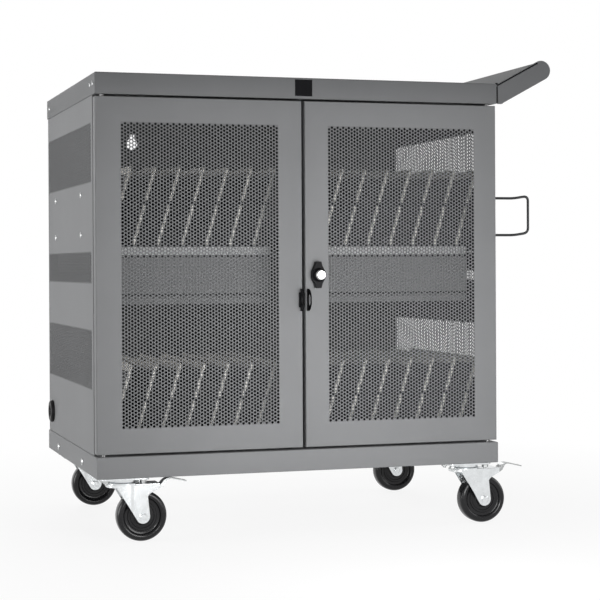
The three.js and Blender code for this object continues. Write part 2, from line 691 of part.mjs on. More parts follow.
function outletStrip() {
  const back = BODY_DEPTH - SHEET - SEAM;
  const front = back - STRIP_DEPTH;
  const bottom = SHELF_HEIGHT + STRIP_ABOVE_SHELF;
  const middle = bottom + STRIP_HEIGHT / 2;
  const bar = block([-STRIP_WIDTH / 2, front, bottom], [STRIP_WIDTH / 2, back, bottom + STRIP_HEIGHT]);
  const pitch = STRIP_WIDTH / SOCKET_COUNT;
  const sockets = Array.from({ length: SOCKET_COUNT }, (_, i) => {
    const x = (i - (SOCKET_COUNT - 1) / 2) * pitch;
    return block(
      [x - SOCKET_SIZE / 2, front - SHEET, middle - SOCKET_SIZE / 2],
      [x + SOCKET_SIZE / 2, front + SOCKET_DEPTH, middle + SOCKET_SIZE / 2],
    );
  });
  return cut(bar, ...sockets);
}

// Divider: a plate with a rounded upper front corner and a foot that drops into its slot.
function divider() {
  const low = (SEAM + DIVIDER_SHEET / 2 * Math.sin(lean)) / Math.cos(lean);
  return slabYZ(new THREE.Shape([
    new THREE.Vector2(0, low),
    new THREE.Vector2(SLOT_END_MARGIN, low),
    new THREE.Vector2(SLOT_END_MARGIN, -SLOT_DROP),
    new THREE.Vector2(rackDepth - SLOT_END_MARGIN, -SLOT_DROP),
    new THREE.Vector2(rackDepth - SLOT_END_MARGIN, low),
    new THREE.Vector2(rackDepth, low),
    new THREE.Vector2(rackDepth, DIVIDER_HEIGHT),
    ...arc(DIVIDER_CORNER, DIVIDER_HEIGHT - DIVIDER_CORNER, DIVIDER_CORNER, Math.PI / 2, Math.PI),
  ]), -DIVIDER_SHEET / 2, DIVIDER_SHEET);
}

// Caster pieces about the swivel axis, with the base's underside at z = 0.
function casterPlate() {
  const plateLow = -SEAM - PLATE_THICKNESS;
  const outline = roundedRectangle(-PLATE_LENGTH / 2, -PLATE_WIDTH / 2, PLATE_LENGTH / 2, PLATE_WIDTH / 2, PLATE_CORNER);
  const slots = [];
  for (const sideX of [-1, 1]) {
    for (const sideY of [-1, 1]) {
      const x = sideX * (PLATE_LENGTH / 2 - PLATE_SLOT_INSET);
      const y = sideY * (PLATE_WIDTH / 2 - PLATE_SLOT_INSET);
      slots.push(block(
        [x - PLATE_SLOT_LENGTH / 2, y - PLATE_SLOT_WIDTH / 2, plateLow - SEAM],
        [x + PLATE_SLOT_LENGTH / 2, y + PLATE_SLOT_WIDTH / 2, SEAM],
      ));
    }
  }
  const plate = cut(slabXY(outline, plateLow, PLATE_THICKNESS), ...slots);
  return join(plate, barZ(0, 0, RACE_RADIUS, plateLow - RACE_HEIGHT, plateLow + SEAM));
}

function casterFork() {
  const foot = FORK_FOOT_RADIUS;
  const leg = new THREE.Shape([
    new THREE.Vector2(-FORK_LEG_LEAD, crownTop),
    new THREE.Vector2(-FORK_LEG_LEAD, crownTop - 2 * FORK_SHEET),
    ...arc(CASTER_TRAIL, -axleDrop, foot, 1.25 * Math.PI, 2 * Math.PI),
    new THREE.Vector2(CASTER_TRAIL + FORK_WAIST, FORK_WAIST_RISE - axleDrop),
    new THREE.Vector2(FORK_TAIL, crownTop - 3 * FORK_SHEET),
    new THREE.Vector2(FORK_TAIL, crownTop),
  ]);
  const crown = roundedRectangle(-FORK_LEAD, -forkOuter, FORK_TAIL, forkOuter, FORK_CROWN_CORNER);
  return join(
    slabXZ(leg, -forkOuter, FORK_SHEET),
    slabXZ(leg, forkInner, FORK_SHEET),
    slabXY(crown, crownTop - FORK_SHEET, FORK_SHEET),
    barZ(0, 0, FORK_RACE_RADIUS, crownTop - SEAM, forkTop),
    barY(CASTER_TRAIL, -axleDrop, AXLE_RADIUS, -forkOuter, forkOuter, SMALL_SIDES),
    barY(CASTER_TRAIL, -axleDrop, AXLE_HEAD_RADIUS, -forkOuter - AXLE_HEAD, -forkOuter + SHEET, SMALL_SIDES),
    barY(CASTER_TRAIL, -axleDrop, AXLE_HEAD_RADIUS, forkOuter - SHEET, forkOuter + AXLE_HEAD, SMALL_SIDES),
  );
}

// Wheel: one side of the section, from the bore out to the tread, then mirrored.
function casterWheel() {
  const bore = (AXLE_RADIUS + WHEEL_RUNNING_GAP) / Math.cos(Math.PI / WHEEL_SIDES);
  const half = WHEEL_WIDTH / 2;
  const side = [
    new THREE.Vector2(bore, HUB_WIDTH / 2),
    new THREE.Vector2(HUB_RADIUS, HUB_WIDTH / 2),
    new THREE.Vector2(HUB_RADIUS, half - WHEEL_DISH),
    new THREE.Vector2(RIM_RADIUS - WHEEL_EDGE, half - WHEEL_DISH),
    new THREE.Vector2(RIM_RADIUS, half),
    new THREE.Vector2(WHEEL_RADIUS - WHEEL_EDGE, half),
    new THREE.Vector2(WHEEL_RADIUS, half - WHEEL_EDGE),
  ];
  const mirrored = side.map((point) => new THREE.Vector2(point.x, -point.y));
  const outline = [...mirrored, ...side.reverse()];
  return new THREE.LatheGeometry([...outline, outline[0]], WHEEL_SIDES);
}

// Brake pedal about its pin: a lever out past the wheel with a shoe above the tread.
function brakePedal() {
  const corners = [
    new THREE.Vector3(-PEDAL_PIN_RADIUS, 0, 0),
    new THREE.Vector3(PEDAL_KNEE, 0, 0),
    new THREE.Vector3(PEDAL_BEND, PEDAL_RISE, 0),
    new THREE.Vector3(PEDAL_LENGTH, PEDAL_RISE - PEDAL_TIP_DROP, 0),
  ];
  const points = roundedRoute(corners, PEDAL_FILLET).getPoints(ARC_STEPS);
  const pinHalf = forkInner - SEAM;
  return join(
    slabXZ(foldedSheet(points, PEDAL_THICKNESS), -PEDAL_WIDTH / 2, PEDAL_WIDTH),
    barY(0, 0, PEDAL_PIN_RADIUS, -pinHalf, pinHalf, SMALL_SIDES),
  );
}

// Assembly
const cabinet = new THREE.Group();
const boxWidth = innerHalf - BOX_HALF_GAP - BOX_SIDE_GAP;
cabinet.add(
  piece('base_pan', basePan(), greySteel),
  piece('left_side_panel', sidePanel(-1), greySteel),
  piece('right_side_panel', sidePanel(1), greySteel),
  piece('back_panel', backPanel(), greySteel),
  piece('lid', lid(), greySteel),
  piece('push_handle', pushHandle(), greySteel),
  piece('mid_shelf', midShelf(), greySteel),
  piece('left_charger_box', chargerBox(boxWidth), greySteel, -BOX_HALF_GAP - boxWidth),
  piece('right_charger_box', chargerBox(boxWidth), greySteel, BOX_HALF_GAP),
  piece('outlet_strip', outletStrip(), blackPlastic),
  piece('cord_hook', cordHook(), darkWire, halfWidth, HOOK_FROM_FRONT, HOOK_CENTRE_HEIGHT),
  piece('cord_grommet', cordGrommet(), blackPlastic, -halfWidth, BODY_DEPTH - GROMMET_FROM_REAR, GROMMET_HEIGHT),
);

for (const [name, side] of [['left', -1], ['right', 1]]) {
  const swing = new THREE.Group();
  swing.position.set(side * pivotX, pivotY, 0);
  swing.add(piece(`${name}_door`, door(side), greySteel));
  swing.add(piece(`${name}_padlock_ear`, padlockEar(side), blackPlastic));
  if (side > 0) {
    const lock = new THREE.Group();
    lock.position.set(lockPlace, doorFace, LOCK_HEIGHT);
    lock.add(piece('lock_handle', lockHandle(), blackPlastic), piece('lock_cylinder', lockCylinder(), chrome));
    swing.add(lock);
  }
  cabinet.add(swing);
}

for (const [tier, floor] of [['lower', BASE_SKIRT], ['upper', SHELF_HEIGHT]]) {
  for (const rack of racks) {
    footPlaces(rack).forEach((x, i) => {
      const plate = piece(`${tier}_${rack.name}_divider_${i + 1}`, divider(), dividerGrey, x, shelfFront, floor);
      plate.rotation.y = lean;
      cabinet.add(plate);
    });
  }
}

for (const [row, y] of [['front', CASTER_INSET_Y], ['rear', BODY_DEPTH - CASTER_INSET_Y]]) {
  for (const [end, side] of [['left', -1], ['right', 1]]) {
    const caster = new THREE.Group();
    caster.position.set(side * (halfWidth - CASTER_INSET_X), y, 0);
    caster.add(piece(`${row}_${end}_caster_plate`, casterPlate(), zinc));
    caster.add(piece(`${row}_${end}_caster_fork`, casterFork(), zinc));
    caster.add(piece(`${row}_${end}_caster_wheel`, casterWheel(), wheelBlack, CASTER_TRAIL, 0, -axleDrop));
    if (row === 'front') {
      const pedal = piece(`${row}_${end}_brake_pedal`, brakePedal(), zinc);
      pedal.position.set(PEDAL_PIVOT_BACK, 0, -PEDAL_PIVOT_DROP);
      caster.add(pedal);
    }
    cabinet.add(caster);
  }
}

// The cart stands on the floor, with the middle of its footprint at the origin.
const cart = new THREE.Group();
cart.add(cabinet);
const extent = new THREE.Box3().setFromObject(cart, true);
const middle = extent.getCenter(new THREE.Vector3());
cabinet.position.set(-middle.x, -middle.y, -extent.min.z);

export default cart;
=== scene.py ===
# Looks for the laptop charging cart: powder-coated sheet metal with fine perforations, bright zinc
# casters with black wheels, and pale trim on the dividers. Sizes are in millimetres in the
# cabinet's own frame (X from the middle, Y from the doors' face, Z from the base's underside) and
# are moved into the shared frame, which is in metres.
from collections import Counter
from itertools import product
from math import cos, pi, radians, sin, sqrt, tan

import bmesh
import bpy
from mathutils import Matrix, Vector


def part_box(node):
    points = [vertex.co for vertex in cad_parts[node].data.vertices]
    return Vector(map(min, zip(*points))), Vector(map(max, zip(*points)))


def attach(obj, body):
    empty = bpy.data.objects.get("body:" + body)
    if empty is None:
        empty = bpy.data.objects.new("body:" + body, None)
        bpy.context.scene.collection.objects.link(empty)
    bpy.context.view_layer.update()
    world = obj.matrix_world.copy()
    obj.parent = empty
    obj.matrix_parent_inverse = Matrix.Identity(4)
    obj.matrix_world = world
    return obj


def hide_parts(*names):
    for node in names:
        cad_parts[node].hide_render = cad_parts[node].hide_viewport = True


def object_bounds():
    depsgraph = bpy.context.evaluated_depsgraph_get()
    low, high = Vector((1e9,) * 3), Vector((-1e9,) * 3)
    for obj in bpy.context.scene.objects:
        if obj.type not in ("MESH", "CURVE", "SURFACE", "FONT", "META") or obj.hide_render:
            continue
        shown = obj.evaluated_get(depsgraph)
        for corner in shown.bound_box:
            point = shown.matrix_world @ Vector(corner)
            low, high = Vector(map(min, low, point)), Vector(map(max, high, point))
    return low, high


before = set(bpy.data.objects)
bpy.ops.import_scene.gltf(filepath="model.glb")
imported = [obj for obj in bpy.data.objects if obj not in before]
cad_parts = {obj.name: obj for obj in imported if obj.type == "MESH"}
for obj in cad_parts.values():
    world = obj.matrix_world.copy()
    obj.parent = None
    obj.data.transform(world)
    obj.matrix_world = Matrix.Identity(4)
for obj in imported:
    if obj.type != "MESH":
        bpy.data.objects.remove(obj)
cad_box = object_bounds()

MM = 0.001
CLEARANCE = 0.3  # between pieces that lie against each other

# Camera, fitted to the corners of the cabinet
IMAGE_SIZE = 600
FOCAL_PIXELS = 1641.0
CENTRE_X = 294.8
CENTRE_Y = 272.4
CAMERA_PLACE = (-1001, -3143, 413)
CAMERA_YAW = radians(17.35)
CAMERA_PITCH = radians(0.24)
CAMERA_ROLL = radians(-0.3)
SENSOR = 36.0

# Perforations
HOLE_RADIUS = 2.85
HOLE_PITCH = 7.0
HOLE_SIDES = 6
SHEET = 1.5
BAND_SHEET = 0.5
FIELD_BORDER = 49
BAND_FRONT_MARGIN = 15
BAND_REAR_MARGIN = 8
BANDS = ((170, 119), (379, 64), (578, 119))  # bottom and height

# Folded edges
EDGE_RADIUS = 2.2
EDGE_STEPS = 4
DOOR_LIP = 14
DOOR_REVEAL = 4.3
PIVOT_INSET = 15
PIVOT_RADIUS = 4
DOOR_EDGE_SEAM = 3.0  # from the door's face to the groove on its edge
DOOR_SEAM_WIDTH = 4.0
DOOR_SEAM_DEPTH = 6.0
SMOOTH_ANGLE = radians(32)

# Divider trim
TRIM_HALF = 3.0
TRIM_OUT = 1.3
TRIM_TOP_LEG = 15
TRIM_FRONT_LEG = 6
TRIM_CHAMFER = 4
TRIM_STEPS = 8
TRIM_GAP = 8
TRIM_FOOT = 17
TRIM_SPLIT = 105  # height of the gap's middle on the plate
DIVIDER_LEAN = radians(16.4)
DIVIDER_HEIGHT = 180
DIVIDER_CORNER = 6

# Badge plate
BADGE_LEFT, BADGE_RIGHT = -17, 19
BADGE_BOTTOM, BADGE_TOP = 753, 786
BADGE_PROUD = 1.2
BADGE_SINK = 0.2

# Sides of turned forms
ROUND_STEPS = 48
SMALL_STEPS = 24


# Places in the shared frame
base_low, base_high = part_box("base_pan")
door_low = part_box("left_door")[0]
ORIGIN = Vector(((base_low[0] + base_high[0]) / 2, door_low[1], base_low[2]))


def at(x, y, z):
    return ORIGIN + Vector((x, y, z)) * MM


def local_box(node):
    """A node's box in the cabinet's frame, in millimetres."""
    low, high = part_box(node)
    return (Vector(low) - ORIGIN) / MM, (Vector(high) - ORIGIN) / MM


# Materials
NOISE_RANGE = (0.3, 0.7)  # where most of a noise's values lie
GRAIN_HEIGHT = 0.0004


def node_material(name):
    material = bpy.data.materials.new(name)
    material.use_nodes = True
    shader = material.node_tree.nodes["Principled BSDF"]
    return material, material.node_tree, shader


def fed(tree, node, **inputs):
    """Sets a node's inputs, or links them where another node's output is given."""
    for name, value in inputs.items():
        socket = node.inputs[name.replace("_", " ")]
        if isinstance(value, bpy.types.NodeSocket):
            tree.links.new(value, socket)
        else:
            socket.default_value = value
    return node


def added(tree, kind, **inputs):
    return fed(tree, tree.nodes.new("ShaderNode" + kind), **inputs)


def noise(tree, scale, detail, roughness):
    place = added(tree, "TexCoord").outputs["Object"]
    texture = added(tree, "TexNoise", Vector=place, Scale=scale, Detail=detail, Roughness=roughness)
    return texture.outputs["Fac"]


def ranged(tree, value, source, target):
    """Maps a value from one range to another."""
    limits = {"From_Min": source[0], "From_Max": source[1], "To_Min": target[0], "To_Max": target[1]}
    return added(tree, "MapRange", Value=value, **limits).outputs["Result"]


def ramped(tree, value, source, colors):
    """Maps a value to a colour between two."""
    ramp = added(tree, "ValToRGB", Fac=value)
    for element, position, color in zip(ramp.color_ramp.elements, source, colors):
        element.position = position
        element.color = (*color, 1)
    return ramp.outputs["Color"]


def surface(name, color, rough, cloud, variation=0.03, grain=900.0, bump=0.08, metallic=0.0, specular=0.5):
    """A material with cloudy colour, uneven gloss and a fine grain."""
    material, tree, shader = node_material(name)
    dark = tuple(c * (1 - variation) for c in color)
    light = tuple(min(c * (1 + variation), 1.0) for c in color)
    clouds = noise(tree, cloud, detail=4.0, roughness=0.6)
    fine = noise(tree, grain, detail=2.0, roughness=0.5)
    paint = ramped(tree, clouds, NOISE_RANGE, (dark, light))
    gloss = ranged(tree, fine, NOISE_RANGE, rough)
    grained = added(tree, "Bump", Strength=bump, Distance=GRAIN_HEIGHT, Height=fine).outputs["Normal"]
    fed(tree, shader, Base_Color=paint, Roughness=gloss, Normal=grained)
    fed(tree, shader, Metallic=metallic, Specular_IOR_Level=specular)
    return material


POWDER = {"rough": (0.48, 0.60), "cloud": 6.0, "bump": 0.10}
powder_grey = surface("powder_grey", (0.212, 0.215, 0.220), specular=0.18, **POWDER)
# A darker copy of the paint for the lid and push handle: painted shade, as the top of the cabinet lies in
# shade.
lid_shade_grey = surface("lid_shade_grey", (0.160, 0.163, 0.167), specular=0.16, **POWDER)
# A darker copy of the paint for perforated fields: painted shade, as the rims of the holes are shaded.
screen_shade_grey = surface("screen_shade_grey", (0.172, 0.175, 0.179), specular=0.16, **POWDER)
box_grey = surface("box_grey", (0.26, 0.263, 0.267), variation=0.04, specular=0.15, **POWDER)
# A near-black copy of the paint for faces that look into the cabinet: painted shade, as little light reaches
# the inside.
inner_shade_grey = surface(
    "inner_shade_grey", (0.034, 0.0345, 0.035), rough=(0.5, 0.62), variation=0.06, cloud=7.0, specular=0.1)
# Dark grey for the divider plates; their near-black tone is partly painted shade from the cabinet's dim
# inside.
divider_shade_grey = surface(
    "divider_shade_grey", (0.035, 0.036, 0.037), rough=(0.5, 0.62), variation=0.05, cloud=12.0, specular=0.15)
# A pale grey for the strip along the charger boxes' tops: painted highlight, as light falls on it from above.
lip_highlight_grey = surface(
    "lip_highlight_grey", (0.70, 0.705, 0.71), rough=(0.45, 0.58), variation=0.05, cloud=9.0, specular=0.25)
black_plastic = surface(
    "black_plastic", (0.010, 0.010, 0.011), rough=(0.36, 0.48), variation=0.12, cloud=40.0, specular=0.12)
black_coat = surface(
    "black_coat", (0.005, 0.005, 0.006), rough=(0.3, 0.42), variation=0.1, cloud=40.0, specular=0.08,
    grain=800.0, bump=0.06)
wheel_black = surface(
    "wheel_black", (0.009, 0.009, 0.010), rough=(0.16, 0.26), variation=0.2, cloud=30.0, specular=0.3,
    grain=500.0, bump=0.03)
trim_cream = surface(
    "trim_cream", (0.95, 0.92, 0.85), rough=(0.24, 0.34), cloud=45.0, specular=0.8,
    grain=600.0, bump=0.04)
dark_wire = surface(
    "dark_wire", (0.03, 0.031, 0.033), rough=(0.32, 0.45), variation=0.1, cloud=60.0, specular=0.3,
    grain=800.0, bump=0.06, metallic=0.2)
zinc = surface(
    "zinc", (0.72, 0.74, 0.75), rough=(0.16, 0.28), variation=0.07, cloud=60.0,
    grain=420.0, bump=0.06, metallic=0.9)
# A darker copy of the zinc for the brake pedals: painted shade, as the pedals sit under the base.
pedal_shade_zinc = surface(
    "pedal_shade_zinc", (0.40, 0.41, 0.41), rough=(0.3, 0.42), variation=0.08, cloud=70.0,
    grain=420.0, metallic=0.7)
pin_zinc = surface(
    "pin_zinc", (0.28, 0.28, 0.28), rough=(0.28, 0.4), variation=0.06, cloud=90.0,
    grain=500.0, bump=0.05, metallic=0.7)
screw_steel = surface(
    "screw_steel", (0.48, 0.49, 0.49), rough=(0.2, 0.32), variation=0.06, cloud=120.0,
    grain=600.0, bump=0.04, metallic=0.9)
chrome = surface(
    "chrome", (0.86, 0.86, 0.85), rough=(0.08, 0.15), cloud=80.0,
    grain=300.0, bump=0.02, metallic=1.0)


# Mesh pieces
BEVEL_SEGMENTS = 3
BEVEL_ANGLE = radians(40)
INWARD = 0.9  # how squarely a face looks inwards to get the painted shade
WELD_DISTANCE = 0.00002
FLAT_ANGLE = radians(1)
CORE_SHARE = 0.04  # the hole left at a disc's axis
CORNERS = ((-1, -1), (1, -1), (1, 1), (-1, 1))


class Form:
    """Vertices and faces collected for one piece, in cabinet millimetres."""

    def __init__(self):
        self.points = []
        self.faces = []

    def add(self, points, faces):
        start = len(self.points)
        self.points.extend(points)
        self.faces.extend([tuple(start + i for i in face) for face in faces])
        return self

    def block(self, low, high):
        points = list(product(*zip(low, high)))
        sides = [(0, 1, 3, 2), (4, 6, 7, 5), (0, 4, 5, 1), (2, 3, 7, 6), (0, 2, 6, 4), (1, 5, 7, 3)]
        return self.add(points, sides)


def linked(name, data):
    item = bpy.data.objects.new(name, data)
    bpy.context.scene.collection.objects.link(item)
    return item


def made(name, form, material, slot=None, body="cabinet", **options):
    """Turns a form into an object that rides on a body."""
    mesh = bpy.data.meshes.new(name)
    mesh.from_pydata([at(*p) for p in form.points], [], form.faces)
    return settled(name, mesh, material, slot, body, **options)


def shown(node, form, material, slot, body="cabinet", **options):
    """Turns a form into the piece that stands in for a node."""
    return made(node + "_shown", form, material, slot, body, replaces=(node,), **options)


def settled(name, mesh, material, slot, body, replaces=(), bevel=0.0, inside=None):
    edit = bmesh.new()
    edit.from_mesh(mesh)
    bmesh.ops.recalc_face_normals(edit, faces=edit.faces)
    edit.to_mesh(mesh)
    edit.free()
    mesh.materials.clear()
    mesh.materials.append(material)
    if inside:
        paint_inner_shade(mesh, *inside)
    mesh.polygons.foreach_set("use_smooth", [True] * len(mesh.polygons))
    mesh.set_sharp_from_angle(angle=SMOOTH_ANGLE)
    piece = linked(name, mesh)
    if bevel:
        rounding = piece.modifiers.new("edges", "BEVEL")
        rounding.width = bevel * MM
        rounding.segments = BEVEL_SEGMENTS
        rounding.limit_method = "ANGLE"
        rounding.angle_limit = BEVEL_ANGLE
        rounding.harden_normals = True
    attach(piece, body)
    if replaces:
        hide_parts(*replaces)
    return piece


def paint_inner_shade(mesh, smallest, *directions):
    """Gives painted shade, a near-black copy of the paint, to faces that look inwards and aren't smaller than
    an area.
    """
    mesh.materials.append(inner_shade_grey)
    for face in mesh.polygons:
        inward = any(face.normal.dot(Vector(direction)) > INWARD for direction in directions)
        if inward and face.area >= smallest:
            face.material_index = 1


def paint_screen_shade(piece, first, last):
    """Gives a perforated field's webs a darker copy of the paint: painted shade for the shaded rims of its
    holes.
    """
    piece.data.materials.append(screen_shade_grey)
    number = len(piece.data.materials) - 1
    for face in piece.data.polygons[first:last]:
        if face.material_index == 0:
            face.material_index = number


def softened(node, material, slot, bevel, inside=None):
    """A CAD node's own solid with its edges rounded."""
    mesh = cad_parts[node].data.copy()
    edit = bmesh.new()
    edit.from_mesh(mesh)
    bmesh.ops.remove_doubles(edit, verts=edit.verts, dist=WELD_DISTANCE)
    bmesh.ops.dissolve_limit(edit, angle_limit=FLAT_ANGLE, verts=edit.verts, edges=edit.edges)
    edit.to_mesh(mesh)
    edit.free()
    mesh.name = node + "_shown"
    return settled(node + "_shown", mesh, material, slot, "cabinet", (node,), bevel, inside)


def ring_faces(rings, size):
    """Faces between each ring of points and the next one, for pairs of ring numbers."""
    faces = []
    for ring, after in rings:
        here, there = ring * size, after * size
        for i in range(size):
            j = (i + 1) % size
            faces.append((here + i, here + j, there + j, there + i))
    return faces


def turned(form, profile, centre, axis, steps=ROUND_STEPS):
    """A closed profile of (radius, along) points turned about an axis through centre."""
    along = Vector(axis).normalized()
    across = along.orthogonal().normalized()
    third = along.cross(across)
    points = []
    for step in range(steps):
        angle = 2 * pi * step / steps
        out = across * cos(angle) + third * sin(angle)
        points.extend([tuple(Vector(centre) + out * r + along * a) for r, a in profile])
    rings = [(step, (step + 1) % steps) for step in range(steps)]
    return form.add(points, ring_faces(rings, len(profile)))


def disc(form, radius, centre, axis, low, high, edge=0.4):
    """A round head with a rounded rim: the profile starts and ends near the axis."""
    core = radius * CORE_SHARE
    profile = [(core, low), (radius, low), (radius, high - edge), (radius - edge, high), (core, high)]
    return turned(form, profile, centre, axis, SMALL_STEPS)


def extruded(form, outline, to_point, low, high):
    """A flat outline given a thickness; to_point maps (u, v, depth) to a place."""
    count = len(outline)
    points = [to_point(u, v, low) for u, v in outline] + [to_point(u, v, high) for u, v in outline]
    faces = [tuple(range(count)), tuple(range(2 * count - 1, count - 1, -1))]
    return form.add(points, faces + ring_faces([(0, 1)], count))


def arc(u, v, radius, start, end, steps=6):
    angles = [radians(start + (end - start) * i / steps) for i in range(steps + 1)]
    return [(u + radius * cos(a), v + radius * sin(a)) for a in angles]


def rounded_box(u0, v0, u1, v1, r):
    """The outline of a rectangle with round corners."""
    outline = arc(u1 - r, v0 + r, r, 270, 360) + arc(u1 - r, v1 - r, r, 0, 90)
    return outline + arc(u0 + r, v1 - r, r, 90, 180) + arc(u0 + r, v0 + r, r, 180, 270)


def swept_frame(form, left, bottom, right, top, section, to_point, closed=True):
    """A section of (inset, depth) points carried round a rectangle. An open section is capped."""
    count = len(section)
    points = []
    for side_u, side_v in CORNERS:
        for inset, depth in section:
            u = left + inset if side_u < 0 else right - inset
            v = bottom + inset if side_v < 0 else top - inset
            points.append(to_point(u, v, depth))
    faces = []
    for corner in range(4):
        here = corner * count
        there = (corner + 1) % 4 * count
        for i in range(count if closed else count - 1):
            j = (i + 1) % count
            faces.append((here + i, there + i, there + j, here + j))
    if not closed:
        faces.append(tuple(corner * count for corner in range(4)))
        faces.append(tuple(corner * count + count - 1 for corner in (3, 2, 1, 0)))
    return form.add(points, faces)


def thickened(form, points, faces, to_point, depth):
    """A closed sheet from a flat mesh: its front, its back, and a wall along every open edge."""
    count = len(points)
    edges = [edge for face in faces for edge in zip(face, face[1:] + face[:1])]
    uses = Counter(frozenset(edge) for edge in edges)
    solid = list(faces) + [tuple(count + i for i in reversed(face)) for face in faces]
    solid += [(j, i, count + i, count + j) for i, j in edges if uses[frozenset((i, j))] == 1]
    placed = [to_point(u, v, 0.0) for u, v in points] + [to_point(u, v, depth) for u, v in points]
    return form.add(placed, solid)


def flat_mesh(edit):
    """The points and faces of a flat bmesh, which is then freed."""
    edit.verts.index_update()
    points = [(v.co.x, v.co.y) for v in edit.verts]
    faces = [tuple(v.index for v in face.verts) for face in edit.faces]
    edit.free()
    return points, faces


def pierced(form, outline, hole, to_point, depth):
    """A flat outline with one hole, given a thickness."""
    edit = bmesh.new()
    edges = []
    for loop in (outline, hole):
        corners = [edit.verts.new((u, v, 0)) for u, v in loop]
        edges += [edit.edges.new(pair) for pair in zip(corners, corners[1:] + corners[:1])]
    bmesh.ops.triangle_fill(edit, use_beauty=True, edges=edges)
    return thickened(form, *flat_mesh(edit), to_point, depth)


def perforated(form, left, bottom, right, top, to_point, depth):
    """A sheet of staggered round holes that fills a rectangle."""
    columns = round((right - left) / (HOLE_PITCH * sqrt(3) / 2))
    rows = round((top - bottom) / HOLE_PITCH - 0.5)
    width = (right - left) / columns
    pitch = (top - bottom) / (rows + 0.5)
    hole = arc(0, 0, HOLE_RADIUS, 0, 360, HOLE_SIDES)[:HOLE_SIDES]
    places = {}

    def index(u, v):
        return places.setdefault((round(u, 4), round(v, 4)), len(places))

    faces = []
    for column in range(columns):
        u0 = left + column * width
        u1 = u0 + width
        shift = pitch / 2 if column % 2 else 0.0
        spare = bottom if column % 2 else top - pitch / 2
        corners = ((u0, spare), (u1, spare), (u1, spare + pitch / 2), (u0, spare + pitch / 2))
        faces.append(tuple(index(u, v) for u, v in corners))
        for row in range(rows):
            v0 = bottom + shift + row * pitch
            middle = v0 + pitch / 2
            v1 = v0 + pitch
            rim = [(u1, middle), (u1, v1), (u0, v1), (u0, middle), (u0, v0), (u1, v0)]
            ring = [((u0 + u1) / 2 + a, middle + b) for a, b in hole]
            for k in range(HOLE_SIDES):
                j = (k + 1) % HOLE_SIDES
                faces.append((index(*rim[k]), index(*rim[j]), index(*ring[j]), index(*ring[k])))
    return thickened(form, list(places), faces, to_point, depth)


def windowed(form, cuts_u, cuts_v, is_open, to_point, depth):
    """A flat sheet on a grid of cuts, with some cells left open."""
    points = [(u, v) for v in cuts_v for u in cuts_u]
    wide = len(cuts_u)
    cells = product(range(len(cuts_v) - 1), range(wide - 1))
    starts = [j * wide + i for j, i in cells if not is_open(i, j)]
    faces = [(k, k + 1, k + wide + 1, k + wide) for k in starts]
    return thickened(form, points, faces, to_point, depth)


def heading(route, i):
    """The direction of a route at one of its points."""
    return (route[min(i + 1, len(route) - 1)] - route[max(i - 1, 0)]).normalized()


def lofted(form, rings):
    """Rings of points joined in turn, closed at both ends."""
    size = len(rings[0])
    points = [point for ring in rings for point in ring]
    faces = [tuple(reversed(range(size))), tuple(range(len(points) - size, len(points)))]
    pairs = [(i, i + 1) for i in range(len(rings) - 1)]
    return form.add(points, faces + ring_faces(pairs, size))


def tube(form, route, radius, sides=14):
    """A round wire along a route of points."""
    angles = [2 * pi * k / sides for k in range(sides)]
    rings = []
    side = None
    for i, place in enumerate(route):
        along = heading(route, i)
        side = along.orthogonal() if side is None else side - along * side.dot(along)
        side = side.normalized()
        third = along.cross(side)
        rings.append([tuple(place + (side * cos(a) + third * sin(a)) * radius) for a in angles])
    return lofted(form, rings)


def filleted(corners, radius, steps=8):
    """A route through corners with each inner one rounded."""
    route = [corners[0]]
    for i in range(1, len(corners) - 1):
        enter = corners[i] + (corners[i - 1] - corners[i]).normalized() * radius
        leave = corners[i] + (corners[i + 1] - corners[i]).normalized() * radius
        for k in range(steps + 1):
            t = k / steps
            route.append(enter * (1 - t) ** 2 + corners[i] * (2 * t * (1 - t)) + leave * t ** 2)
    return route + [corners[-1]]


# Camera
camera_data = bpy.data.cameras.new("camera")
camera_data.sensor_width = SENSOR
camera_data.lens = FOCAL_PIXELS * SENSOR / IMAGE_SIZE
camera_data.shift_x = (IMAGE_SIZE / 2 - CENTRE_X) / IMAGE_SIZE
camera_data.shift_y = (CENTRE_Y - IMAGE_SIZE / 2) / IMAGE_SIZE
camera_data.clip_end = 100
camera = linked("camera", camera_data)
forward = Vector((
    sin(CAMERA_YAW) * cos(CAMERA_PITCH),
    cos(CAMERA_YAW) * cos(CAMERA_PITCH),
    -sin(CAMERA_PITCH),
))
aim = forward.to_track_quat("-Z", "Y").to_matrix().to_4x4()
camera.matrix_world = Matrix.Translation(at(*CAMERA_PLACE)) @ aim @ Matrix.Rotation(CAMERA_ROLL, 4, "Z")
bpy.context.scene.camera = camera
bpy.context.scene.view_settings.view_transform = "Standard"


# Studio: white surroundings, soft lamps and a pale floor that keeps a faint shadow
AMBIENT = 0.11
ZENITH_SHARE = 0.45  # how bright the top of the studio is beside its walls
SKY_RANGE = (0.35, 0.85)
FLOOR_SIZE = 30.0
FLOOR_DROP = 0.0005
FLOOR_FADE = (0.55, 1.6)  # distances from the middle, in metres
FLOOR_GLOW = 0.88


def math_node(tree, operation, first, second):
    node = added(tree, "Math")
    node.operation = operation
    tree.links.new(first, node.inputs[0])
    tree.links.new(second, node.inputs[1])
    return node.outputs[0]


def mixed(tree, share, first, second):
    """The first shader, or the second where the share is one."""
    mix = added(tree, "MixShader", Fac=share)
    tree.links.new(first, mix.inputs[1])
    tree.links.new(second, mix.inputs[2])
    return mix.outputs[0]


def shown_rays(tree):
    """One where a camera, glossy or transmission ray looks."""
    rays = added(tree, "LightPath").outputs
    either = math_node(tree, "MAXIMUM", rays["Is Camera Ray"], rays["Is Glossy Ray"])
    return math_node(tree, "MAXIMUM", either, rays["Is Transmission Ray"])


